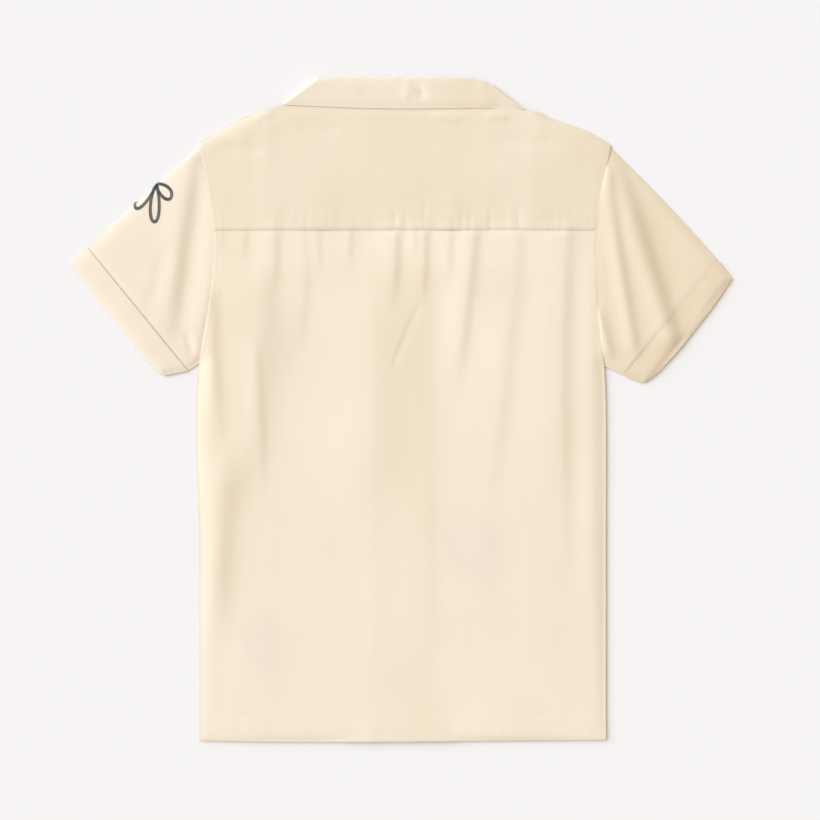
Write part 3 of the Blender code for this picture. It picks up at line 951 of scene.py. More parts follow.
@dataclass(frozen=True)
class Leaf:
    """One embroidered leaf: a loop that leaves the sprig's centre and comes back to it."""

    angle: float
    length: float
    width: float

    def outline(self, steps: int = 48) -> list[Pair]:
        """Finds the points of the loop.

        Args:
            steps: how many there are.

        Returns:
            Points round the sprig's centre, in metres.
        """
        turn = math.radians(self.angle)
        points = []
        for i in range(steps + 1):
            phase = 2 * math.pi * i / steps
            out = (1 - math.cos(phase)) / 2
            aside = self.width / 2 * math.sin(phase) * (0.35 + out) ** 0.6
            out *= self.length
            points.append((
                out * math.cos(turn) - aside * math.sin(turn),
                out * math.sin(turn) + aside * math.cos(turn),
            ))
        return points


@dataclass(frozen=True)
class Sprig:
    """A sprig of plain leaves at one place of the shirt."""

    centre: Pair
    leaves: tuple[Leaf, ...]
    shows: float = 1.0

    def shadow(self, x: float, y: float, soft: float = 0.0120) -> float:
        """Finds how far the sprig shows through the cloth above it.

        Args:
            x: place across the shirt.
            y: place up the shirt.
            soft: how far its outline is blurred.

        Returns:
            A number from 0 to 1.
        """
        off_x, off_y = x - self.centre[0], y - self.centre[1]
        reach = max(leaf.length for leaf in self.leaves) + 3 * soft
        if math.hypot(off_x, off_y) > reach:
            return 0.0
        near = 0.0
        for leaf in self.leaves:
            for px, py in leaf.outline(16)[:-1]:
                distance = math.hypot(off_x - px, off_y - py) / soft
                near += 0.10 * math.exp(-distance * distance)
        return min(1.0, near) * self.shows


FRONT_SPRIGS = (
    Sprig((-0.0960, 0.0620), (Leaf(78, 0.030, 0.011), Leaf(125, 0.019, 0.009), Leaf(-98, 0.027, 0.011))),
    Sprig((0.0780, 0.1085), (Leaf(25, 0.018, 0.008), Leaf(150, 0.017, 0.008), Leaf(-85, 0.015, 0.007)), 0.55),
    Sprig((0.0640, -0.1230), (
        Leaf(95, 0.033, 0.012), Leaf(150, 0.030, 0.011), Leaf(-155, 0.029, 0.011), Leaf(-80, 0.034, 0.012),
        Leaf(-25, 0.031, 0.011), Leaf(35, 0.030, 0.011),
    )),
    Sprig((-0.1240, -0.2080), (Leaf(60, 0.024, 0.010), Leaf(118, 0.021, 0.009), Leaf(-75, 0.022, 0.009))),
)


@dataclass
class Back(ClothPiece):
    """The back, gathered into the yoke, with a turned and stitched hem."""

    node: str = "back"
    cut: Pair = (0.42, 0.475)
    held: Held = Held.GATHERED
    rests_on: tuple[str, ...] = ("front_left_cloth", "front_right_cloth")
    marked: bool = True
    hem_rise: float = 0.0002
    under_yoke: float = 0.0040
    seam_slope: float = 0.0420
    seam_step: float = 0.0006
    tuck_run: float = 0.0060
    gather_share: float = 0.5
    band_softness: float = 0.0065
    # painted shade: where and how strongly the back's cotton is darkened down its left side
    painted_shade_x: float = -0.1600
    painted_shade_width: float = 0.0480
    painted_shade_share: float = 0.95
    painted_shade_y: Pair = (-0.120, -0.230)
    placket_band: Pair = (-0.0260, 0.0310)
    band_top: Pair = (0.115, 0.150)
    band_fade: Pair = (0.060, -0.120)
    band_least: float = 0.45
    stitch_groove: Pair = (0.00012, 0.0012)
    waver: Waver = Waver(0.00010, 150, 60, 5.5)
    waver_fade: Pair = (-0.0020, 0.0060)
    tuck_drop: Pair = (0.0010, 0.0020)
    tuck_full: float = 0.0002
    rim_run: float = 0.0012
    rim_share: float = 0.45
    rim_drop: float = 0.5
    hem_fade: float = 0.0020
    bumps: tuple[Bump, ...] = (
        Fold(0.140, -0.110, -0.1300, -0.1180, -0.1600, 0.0165, 0.0027, lean=4.0, start=0.050, fade=0.30),
        Fold(0.120, -0.130, -0.0250, -0.0250, -0.0250, 0.0330, 0.0024, lean=1.3, start=0.050),
        Fold(0.170, 0.135, -0.1590, -0.1590, -0.1600, 0.0035, 0.0005),
        Fold(0.170, 0.128, -0.1385, -0.1385, -0.1400, 0.0035, 0.0007),
        Fold(0.172, 0.095, -0.1120, -0.1110, -0.1150, 0.0050, 0.0012),
        Fold(0.070, -0.095, -0.1310, -0.1215, -0.1235, 0.0045, 0.0009, lean=2.0, start=0.030),
        Fold(0.170, 0.040, -0.0905, -0.0800, -0.0950, 0.0050, 0.0007),
        Fold(0.170, 0.110, -0.0745, -0.0735, -0.0740, 0.0035, 0.0006),
        Fold(0.170, 0.120, -0.0460, -0.0460, -0.0465, 0.0035, 0.0008),
        Fold(0.172, 0.080, -0.0060, -0.0055, -0.0120, 0.0060, 0.0017, lean=2.5),
        Fold(0.170, 0.132, 0.0105, 0.0105, 0.0105, 0.0030, 0.0005, lean=2.0),
        Fold(0.172, 0.085, 0.0195, 0.0205, 0.0165, 0.0045, 0.0013),
        Fold(0.170, 0.105, 0.0415, 0.0410, 0.0390, 0.0045, 0.0010),
        Fold(0.172, 0.000, 0.0640, 0.0565, 0.0440, 0.0064, 0.0018, lean=2.5),
        Fold(0.170, -0.120, 0.1010, 0.0930, 0.0660, 0.0085, 0.0012),
        Fold(0.172, -0.165, 0.1445, 0.1345, 0.1430, 0.0085, 0.0019),
        Fold(0.140, -0.285, 0.1665, 0.1680, 0.1680, 0.0060, 0.0008, lean=1.8, start=0.080),
        Fold(0.115, -0.045, -0.1690, -0.1690, -0.1590, 0.0070, 0.0020, lean=1.6, start=0.020),
        Fold(-0.020, -0.225, -0.1540, -0.1630, -0.1650, 0.0120, 0.0028, lean=1.2, start=0.055),
        Fold(-0.040, -0.240, 0.0170, 0.0210, 0.0190, 0.0120, 0.0006, lean=2.0, start=0.060),
        Fold(-0.060, -0.230, 0.0680, 0.0720, 0.0740, 0.0140, 0.0007, lean=2.0, start=0.060),
        Crease((0.0200, 0.1010), (-0.0110, 0.0270), 0.0014, -0.0004, 0.0018, 3.5),
    )

    def lines(self) -> tuple[list[float], list[float]]:
        """Returns the columns, closer over the placket, and the rows, closer at the hem and the yoke."""
        columns = spread((0, 0.005, 3), (0.005, 0.41, 72), (0.41, 0.59, 56), (0.59, 0.995, 72), (0.995, 1, 3))
        rows = spread((0, 0.004, 2), (0.004, 0.056, 18), (0.056, 0.92, 150), (0.92, 0.995, 28), (0.995, 1, 2))
        return columns, rows

    def place(self, u: float, v: float) -> Walls:
        """Returns the points of the inner and the outer skin at u across and v up the back."""
        lay = self.lay
        x, y = lay.body_point(u, v, lay.hem_y, lambda x: lay.yoke_seam_y + self.under_yoke)
        hem = lay.hem_y(x)
        top = soft_max(lay.upper(x, y, self.bumps), lay.least_back(x, y), lay.back_softness)
        past_stitch = y - hem - lay.hem_depth
        groove, groove_width = self.stitch_groove
        top += self.hem_rise * ramp(past_stitch, *lay.hem_edge) - groove * bell(past_stitch, groove_width)
        top += self.waver.at(x, y) * ramp(past_stitch, *self.waver_fade)
        top -= lay.armhole_draw(x, y)
        seam = lay.yoke_seam_y
        top -= self.seam_step * ramp(y, seam, seam - self.seam_slope)
        drop, drop_run = self.tuck_drop
        tucked = min(top, self.seam_top(x, y) - self.seam_step - drop * smooth((y - seam) / drop_run))
        top = mix(top, tucked, ramp(y, seam + self.tuck_full, seam - self.tuck_run))
        rim = smooth((y - hem) / self.rim_run)
        thick = lay.rim_wall(x, y) * mix(self.rim_share, 1.0, rim)
        thick += self.hem_rise * (1 - smooth(past_stitch / self.hem_fade))
        top -= lay.wall * self.rim_drop * (1 - rim)
        return Vector((x, y, top - thick)), Vector((x, y, top))

    def seam_top(self, x: float, y: float) -> float:
        """Returns the height of the cloth at the yoke's edge, with most of each gather's height."""
        folds = sum(bump.at(x, min(y, self.lay.yoke_seam_y)) for bump in self.bumps)
        return self.lay.upper(x, y) + self.gather_share * folds

    def marks(self, at: Vector) -> Pair:
        """Returns how far the embroidery and the doubled placket show at a point, with painted shade down the
        back's left side.
        """
        motif = max(sprig.shadow(at.x, at.y) for sprig in FRONT_SPRIGS)
        left, right = self.placket_band
        soft = self.band_softness
        band = ramp(at.x, left + soft, left - soft) * ramp(at.x, right - soft, right + soft)
        band *= ramp(at.y, *self.band_top) * mix(self.band_least, 1.0, ramp(at.y, *self.band_fade))
        # painted shade: a soft darker band down the left side, where broad folds leave a hollow
        painted_shade = bell(at.x - self.painted_shade_x, self.painted_shade_width) * ramp(at.y, *self.painted_shade_y)
        return motif, max(band, self.painted_shade_share * painted_shade)


YOKE_TUCKS: Rows = (
    (0.182, 0.150, -0.1040, -0.1035, -0.1030, 0.0013, -0.0002),
    (0.179, 0.150, -0.0060, -0.0055, -0.0050, 0.0014, -0.0003),
    (0.176, 0.150, 0.0045, 0.0050, 0.0050, 0.0012, -0.0002),
    (0.190, 0.150, 0.0196, 0.0200, 0.0204, 0.0014, -0.0003),
    (0.177, 0.150, 0.0520, 0.0525, 0.0530, 0.0013, -0.0002),
    (0.181, 0.150, 0.0600, 0.0605, 0.0600, 0.0013, -0.0003),
    (0.178, 0.150, 0.0775, 0.0780, 0.0785, 0.0014, -0.0003),
    (0.184, 0.150, 0.1030, 0.1035, 0.1040, 0.0018, -0.0003),
    (0.176, 0.150, 0.1400, 0.1405, 0.1410, 0.0014, -0.0002),
)


@dataclass
class Yoke(ClothPiece):
    """The yoke over the shoulders, with its seam allowance turned in and stitched down twice."""

    node: str = "yoke"
    cut: Pair = (0.385, 0.150)
    cut_area: float = 0.047
    rests_on: tuple[str, ...] = ("back_cloth", "front_left_cloth", "front_right_cloth")
    tone_and_painted_shade: Pair = (1.12, 0.97)
    strip: float = 0.0045
    strip_limit: float = 0.2622
    fold_depth: float = 0.0163
    fold_rise: float = 0.0002
    edge_stitch: float = 0.0012
    gather_run: float = 0.0110
    stitch_groove: Pair = (0.00012, 0.0011)
    fold_step: Pair = (-0.0010, 0.0020)
    pucker_low: Pair = (0.0030, 0.0)
    pucker_high: Pair = (-0.0030, 0.0040)
    pucker_least: float = 0.35
    patch_rate: float = 38.0
    patch_contrast: float = 1.6
    wavers: tuple[Waver, ...] = (Waver(0.00018, 210, 24, 1.7), Waver(0.00016, 430, 40, 1.7))
    strip_share: float = 0.90
    rim_run: float = 0.0022
    rim_drop: float = 0.00034
    back: Back | None = None
    bumps: tuple[Bump, ...] = (
        Crease((-0.1700, 0.2310), (-0.1150, 0.2290), 0.0050, -0.0007, 0.0010),
        Crease((-0.1280, 0.2520), (-0.1020, 0.2590), 0.0045, -0.0006),
        Crease((-0.0950, 0.2480), (-0.0500, 0.2440), 0.0060, -0.0005),
        Crease((0.0240, 0.2585), (0.0560, 0.2545), 0.0022, 0.0007),
        Crease((0.0720, 0.2590), (0.0960, 0.2565), 0.0020, 0.0008),
        Crease((0.0880, 0.2560), (0.1220, 0.2440), 0.0090, -0.0003, 0.0, 2.0),
        Crease((0.0750, 0.2370), (0.1500, 0.2330), 0.0070, -0.0007),
        *(Fold(*row, lean=2.0, fade=0.15) for row in YOKE_TUCKS),
        Fold(0.215, 0.140, 0.0900, 0.0900, 0.0900, 0.0120, -0.0006, lean=1.5, start=0.030),
        Fold(0.212, 0.140, -0.0700, -0.0700, -0.0700, 0.0140, 0.0005, lean=1.5, start=0.030),
        Fold(0.205, 0.140, 0.0450, 0.0450, 0.0450, 0.0100, 0.0005, lean=1.5, start=0.025),
    )

    def lines(self) -> tuple[list[float], list[float]]:
        """Returns the columns, and the rows, closer along the lower edge."""
        columns = spread((0, 0.005, 3), (0.005, 0.995, 240), (0.995, 1, 3))
        rows = spread((0, 0.006, 2), (0.006, 0.22, 22), (0.22, 0.90, 34), (0.90, 0.99, 5), (0.99, 1, 2))
        return columns, rows

    def puckers(self, x: float, y: float) -> float:
        """Finds how far the doubled band draws up between its two rows of stitches.

        Args:
            x: place across the shirt.
            y: place up the shirt.

        Returns:
            The height to add, in metres.
        """
        up = y - self.lay.yoke_seam_y
        inside = ramp(up, *self.pucker_low) * ramp(up - self.fold_depth, *self.pucker_high)
        patches = noise.noise(Vector((x * self.patch_rate, 2.2, 0.4)))
        often = self.pucker_least + smooth(0.5 + self.patch_contrast * patches)
        return often * inside * sum(waver.at(x, y) for waver in self.wavers)

    def top(self, x: float, y: float) -> float:
        """Returns the height of the yoke's upper face."""
        seam = self.lay.yoke_seam_y
        height = self.lay.upper(x, y, self.bumps) + self.puckers(x, y)
        gathers = self.back.seam_top(x, y) - self.lay.upper(x, y)
        height += gathers * (1 - smooth((y - seam) / self.gather_run))
        height += self.fold_rise * ramp(y - seam - self.fold_depth, *self.fold_step)
        groove, width = self.stitch_groove
        for stitch in (seam + self.edge_stitch, seam + self.fold_depth):
            height -= groove * bell(y - stitch, width)
        return height - self.lay.armhole_draw(x, y)

    def place(self, u: float, v: float) -> Walls:
        """Returns the points of the inner and the outer skin at u across and v up the yoke."""
        lay = self.lay
        share = self.strip_share
        if v > share:
            x, y = lay.body_point(u, (v - share) / (1 - share), self.strip_y, lay.shoulder_y)
        else:
            x, y = lay.body_point(u, v / share, lambda x: lay.yoke_seam_y, self.strip_y)
        top = self.top(x, y)
        rim = smooth((y - lay.yoke_seam_y) / self.rim_run)
        return Vector((x, y, top - lay.rim_wall(x, y))), Vector((x, y, top - self.rim_drop * (1 - rim)))

    def strip_y(self, x: float) -> float:
        """Returns y where the last strip of the yoke along the shoulders starts."""
        return min(self.lay.shoulder_y(x) - self.strip, self.strip_limit)


@dataclass
class Front(ClothPiece):
    """A front from its placket or neck edge out to the side seam."""

    side: Side = Side.LEFT
    cut: Pair = (0.215, 0.575)
    cut_area: float = 0.103
    band: float = 0.030
    band_share: float = 0.22
    first_guess: float = 0.08
    left_shift: float = 0.02
    hem_drop: float = 0.0001
    rim: Pair = (0.00012, 0.0015)
    bumps: tuple[Bump, ...] = (
        Fold(0.180, -0.060, 0.0900, 0.0960, 0.0980, 0.0100, 0.0013, lean=1.5, start=0.030),
        Fold(0.060, -0.200, 0.0620, 0.0580, 0.0660, 0.0085, 0.0011, lean=1.5, start=0.030),
        Fold(0.150, 0.010, 0.1450, 0.1400, 0.1300, 0.0075, 0.0014, lean=1.5, start=0.030),
        Fold(-0.040, -0.270, 0.1300, 0.1340, 0.1300, 0.0090, 0.0013, lean=1.5, start=0.030),
        Fold(0.235, 0.140, 0.1450, 0.1420, 0.1400, 0.0080, 0.0011, lean=1.5, start=0.030),
        Crease((0.1560, 0.0300), (0.1000, -0.0400), 0.0070, 0.0010, 0.004),
    )

    def lines(self) -> tuple[list[float], list[float]]:
        """Returns the columns and rows of the front."""
        band = self.band_share
        columns = spread((0, 0.006, 2), (0.006, band, 18), (band, 0.99, 60), (0.99, 1, 3))
        return columns, spread((0, 0.003, 2), (0.003, 0.05, 12), (0.05, 0.80, 110), (0.80, 1.0, 44))

    def flat_point(self, u: float, v: float) -> Pair:
        """Finds a point of the front seen from above.

        Args:
            u: share across, from the inner edge out.
            v: share up.

        Returns:
            (x, y) of the point.
        """
        lay = self.lay
        sign = self.side.value
        edge = lay.body_edge(self.side)
        x = sign * self.first_guess
        y = 0.0
        for _ in range(CURVE_ROUNDS):
            y = mix(lay.hem_y(x), lay.shoulder_y(x), v)
            inner = -sign * follow(lay.front_edge, y)
            if u < self.band_share:
                x = inner + sign * self.band * u / self.band_share
            else:
                x = mix(inner + sign * self.band, edge(y), (u - self.band_share) / (1 - self.band_share))
        return x, y

    def under(self, x: float, y: float) -> float:
        """Returns the height of the front's face, which is underneath."""
        lay = self.lay
        low = lay.front_under(x, y, self.side is Side.RIGHT)
        shift = self.left_shift if self.side is Side.LEFT else 0.0
        folds = sum(bump.at(abs(x), y + shift) for bump in self.bumps)
        hem = ramp(y - lay.hem_y(x) - lay.hem_depth, *lay.hem_edge)
        return low + folds * lay.roll(x, y) - self.hem_drop * hem

    def place(self, u: float, v: float) -> Walls:
        """Returns the points of the two skins at u across and v up the front."""
        x, y = self.flat_point(u, v)
        low = self.under(x, y)
        height, width = self.rim
        outer_rim = height * (1 - smooth(self.lay.inset(x, y) / width))
        return Vector((x, y, low + outer_rim)), Vector((x, y, low + self.lay.wall))


def flat_tube_point(
    start: Vector, stop: Vector, angle: float, low: float, high: float, middle: float, flatness: float
) -> Vector:
    """Finds a point of a flattened tube.

    Args:
        start: the fold at angle 0, seen from above.
        stop: the fold half a turn on.
        angle: the angle round the tube. The first half turn is on top.
        low: height of the lower wall.
        high: height of the upper wall.
        middle: height of the two folds.
        flatness: lower is boxier at the folds.

    Returns:
        The point.
    """
    across = (1 - math.cos(angle)) / 2
    full = abs(math.sin(angle)) ** flatness
    z = mix(middle, high if math.sin(angle) >= 0 else low, full)
    place = start.lerp(stop, across)
    return Vector((place.x, place.y, z))


@dataclass
class SleeveLines:
    """The lines of a sleeve, each read by t, from its upper fold down to the underarm."""

    lay: Lay
    side: Side
    corner: float = 0.0050
    corner_share: float = 0.16
    bows: Pair = (0.0004, 0.0028)

    def of_side(self, left: Any, right: Any) -> Any:
        """Returns the one of two things that is this sleeve's."""
        return left if self.side is Side.LEFT else right

    def seam(self, t: float) -> Vector:
        """Returns the point of the armhole seam at t."""
        armhole = self.of_side(self.lay.left_armhole, self.lay.right_armhole)
        y = mix(armhole[-1][0], armhole[0][0], t)
        return Vector((follow(armhole, y) - self.side.value * self.lay.seam_tuck, y))

    def inner(self, t: float) -> Vector:
        """Returns the point of the cuff's inner edge at t."""
        line = self.of_side(self.lay.left_cuff_line, self.lay.right_cuff_line)
        return Vector(line[0]).lerp(Vector(line[1]), t)

    def outer(self, t: float) -> Vector:
        """Returns the point of the cuff's fold at t, rounded at the underarm."""
        end = self.of_side(self.lay.left_cuff_end, self.lay.right_cuff_end)
        bow = self.of_side(*self.bows)
        corner = max(0.0, (t - 1 + self.corner_share) / self.corner_share)
        back = self.corner * (1 - math.sqrt(max(0.0, 1 - corner * corner)))
        way = Vector((self.side.value, -1)).normalized()
        plain = Vector(end[0]).lerp(Vector(end[1]), t) + way * bow * 4 * t * (1 - t)
        return plain + (self.inner(t) - plain).normalized() * back


LEFT_SLEEVE_BUMPS: tuple[Bump, ...] = (
    Fold(0.228, 0.040, -0.1745, -0.1845, -0.1985, 0.0075, -0.0020, lean=1.5, fade=0.3),
    Fold(0.215, 0.050, -0.1850, -0.2000, -0.2120, 0.0090, 0.0012, lean=1.5, start=0.025),
    Fold(0.150, 0.070, -0.2060, -0.2140, -0.2260, 0.0060, -0.0008, lean=1.5, start=0.020),
    Crease((-0.1900, 0.0700), (-0.1830, 0.0450), 0.0040, -0.0009),
)
RIGHT_SLEEVE_BUMPS: tuple[Bump, ...] = (
    Fold(0.236, 0.048, 0.1850, 0.2085, 0.2430, 0.0095, 0.0030, lean=1.1, start=0.075, fade=0.10),
    Fold(0.236, 0.048, 0.1985, 0.2270, 0.2590, 0.0130, -0.0026, lean=1.6, fade=0.16),
    Fold(0.218, 0.038, 0.1790, 0.1905, 0.2080, 0.0052, 0.0022, lean=1.5, fade=0.14),
    Crease((0.1700, 0.0930), (0.1860, 0.0400), 0.0050, 0.0020),
)
UNDER_SLEEVE_BUMPS: tuple[Bump, ...] = (
    Fold(0.215, 0.060, 0.1880, 0.2120, 0.2260, 0.0080, 0.0013, lean=1.5, start=0.020),
    Fold(0.170, 0.050, 0.1860, 0.1960, 0.2080, 0.0060, 0.0009, lean=1.5, start=0.020),
    Fold(0.190, 0.100, 0.2160, 0.2330, 0.2420, 0.0070, 0.0008, lean=1.5, start=0.020),
)


TUBE_COLUMNS = spread((0, 0.03, 8), (0.03, 0.47, 50), (0.47, 0.53, 16), (0.53, 0.97, 50), (0.97, 1, 8))


@dataclass
class Sleeve(ClothPiece):
    """A sleeve, flattened into a tube, as far as the fold of its turned-up cuff."""

    side: Side = Side.LEFT
    cut: Pair = (0.370, 0.150)
    cut_area: float = 0.0315
    held: Held = Held.FOLDED
    rests_on: tuple[str, ...] = ("cuff_left_cloth",)
    rolled: bool = True
    flatness: float = 0.30
    cuff_share: float = 0.80
    cuff_ramp: Pair = (0.985, 0.80)
    cuff_end_gap: float = 0.0015
    fold_bow: float = -0.0004
    seam_dip: float = 0.0003
    cuff_groove: float = 0.0009
    groove_width: float = 0.0014
    seam_reach: Pair = (0.0020, 0.0110)
    fold_limit: Pair = (0.005, 0.014)
    wrap_reach: float = 0.30
    wrap_steps: int = 90
    bumps: tuple[Bump, ...] = LEFT_SLEEVE_BUMPS
    under_bumps: tuple[Bump, ...] = UNDER_SLEEVE_BUMPS

    def __post_init__(self) -> None:
        """Takes the sleeve's lines from how the shirt lies."""
        self.ways = SleeveLines(self.lay, self.side)

    def lines(self) -> tuple[list[float], list[float]]:
        """Returns the columns, closer at the two folds, and the rows, closer at the armhole."""
        rows = spread((0, 0.03, 6), (0.03, self.cuff_share, 44), (self.cuff_share, 1, 5))
        return TUBE_COLUMNS, rows

    def outer_point(self, u: float, v: float, depth: float = 0.0) -> Vector:
        """Finds a point of the sleeve's outer skin, or of a skin inside it.

        Args:
            u: share round the sleeve, from its upper fold over the top.
            v: share along it, from the armhole.
            depth: how far inside the outer skin the point is.

        Returns:
            The point.
        """
        lay = self.lay
        ways = self.ways
        angle = 2 * math.pi * u
        t = (1 - math.cos(angle)) / 2
        if v < self.cuff_share:
            s = v / self.cuff_share
            bow_way = Vector((self.side.value, 1)).normalized()
            centre = ways.seam(t).lerp(ways.inner(t), s) + bow_way * self.fold_bow * (1 - t) * 4 * s * (1 - s)
            in_cuff = ramp(s, *self.cuff_ramp)
            first, last = ways.seam(0).lerp(ways.inner(0), s), ways.seam(1).lerp(ways.inner(1), s)
            from_seam = (centre - ways.seam(t)).length
            dip = self.seam_dip * (1 - ramp(from_seam, self.seam_reach[1], self.seam_reach[0]))
        else:
            s = (v - self.cuff_share) / (1 - self.cuff_share)
            s *= 1 - self.cuff_end_gap / (ways.outer(0.5) - ways.inner(0.5)).length
            centre = ways.inner(t).lerp(ways.outer(t), s)
            in_cuff = 1.0
            from_seam = 1.0
            first, last = ways.inner(0).lerp(ways.outer(0), s), ways.inner(1).lerp(ways.outer(1), s)
            dip = 0.0
        low = mix(lay.floor_gap, lay.cuff_layer, in_cuff) + dip
        under_folds = sum(bump.at(abs(centre.x), centre.y) for bump in self.under_bumps)
        low += under_folds * lay.roll(*centre) * (1 - in_cuff)
        least = lay.least + (lay.cuff_layer - lay.floor_gap) * in_cuff
        high = soft_max(lay.upper(*centre, self.bumps), least, lay.sleeve_softness)
        most, most_run = self.fold_limit
        high = min(high, lay.upper(*centre) + most * smooth(from_seam / most_run)) - dip
        to_cuff = (ways.inner(t) - centre).length
        high -= self.cuff_groove * bell(to_cuff - self.groove_width / 2, self.groove_width)
        margin = lay.cuff_layer * in_cuff + depth
        way = (last - first).normalized()
        point = flat_tube_point(
            first + way * margin, last - way * margin, angle, low + depth, high - depth,
            lay.least / 2 + lay.cuff_layer * in_cuff, self.flatness,
        )
        bow = centre - first.lerp(last, t)
        return point + bow.to_3d()

    def place(self, u: float, v: float) -> Walls:
        """Returns the points of the inner and the outer skin at u round and v along the sleeve."""
        return self.outer_point(u, v, self.lay.wall), self.outer_point(u, v)

    def wrapped(self, v: float, arc: float) -> Vector:
        """Finds a point of the outer skin by its distance from the upper fold.

        Args:
            v: share along the sleeve, from the armhole.
            arc: distance along the cloth from the fold, below 0 on the underside.

        Returns:
            The point.
        """
        sign = 1 if arc >= 0 else -1
        before = self.outer_point(0.0, v)
        gone = 0.0
        for i in range(1, self.wrap_steps + 1):
            u = self.wrap_reach * (i / self.wrap_steps) ** 2.2
            here = self.outer_point(u if sign > 0 else 1 - u, v)
            step = (here - before).length
            if gone + step >= abs(arc):
                return before.lerp(here, (abs(arc) - gone) / step)
            gone += step
            before = here
        return before


@dataclass
class Cuff(ClothPiece):
    """The turned-up cuff: a band round the sleeve's end, one layer of cloth outside it."""

    side: Side = Side.LEFT
    cut: Pair = (0.300, 0.0225)
    held: Held = Held.FOLDED
    rests_on: tuple[str, ...] = ("sleeve_left_cloth",)
    rolled: bool = True
    flatness: float = 0.30
    snug: float = 0.0001
    waver: Waver = Waver(0.00022, 60, 60, 9.0)
    waver_run: float = 1 / 6
    fold_from: float = 0.84
    fold_squeeze: float = 0.0006
    bumps: tuple[Bump, ...] = LEFT_SLEEVE_BUMPS

    def __post_init__(self) -> None:
        """Takes the cuff's lines from how the shirt lies."""
        self.ways = SleeveLines(self.lay, self.side)

    def lines(self) -> tuple[list[float], list[float]]:
        """Returns the columns, closer at the two folds, and the rows, closer at the two edges."""
        return TUBE_COLUMNS, spread((0, 0.03, 2), (0.03, self.fold_from, 12), (self.fold_from, 1, 6))

    def place(self, u: float, v: float) -> Walls:
        """Returns the points of the inner and the outer skin at u round and v along the cuff."""
        lay = self.lay
        angle = 2 * math.pi * u
        t = (1 - math.cos(angle)) / 2
        first = self.ways.inner(0).lerp(self.ways.outer(0), v)
        last = self.ways.inner(1).lerp(self.ways.outer(1), v)
        centre = self.ways.inner(t).lerp(self.ways.outer(t), v)
        least = lay.least + lay.cuff_layer - lay.floor_gap
        sleeve_top = soft_max(lay.upper(*centre, self.bumps), least, lay.sleeve_softness)
        high = sleeve_top + lay.cuff_layer - self.snug + self.waver.at(*centre) * smooth(v / self.waver_run)
        middle = lay.cuff_layer + lay.least / 2
        way = (last - first).normalized()
        bow = (centre - first.lerp(last, t)).to_3d()
        fold = smooth((v - self.fold_from) / (1 - self.fold_from))
        points = []
        for depth in (lay.wall, 0.0):
            squeeze = depth + self.fold_squeeze * fold * fold
            points.append(bow + flat_tube_point(
                first + way * depth, last - way * depth, angle, squeeze, high - squeeze, middle, self.flatness
            ))
        return points[0], points[1]


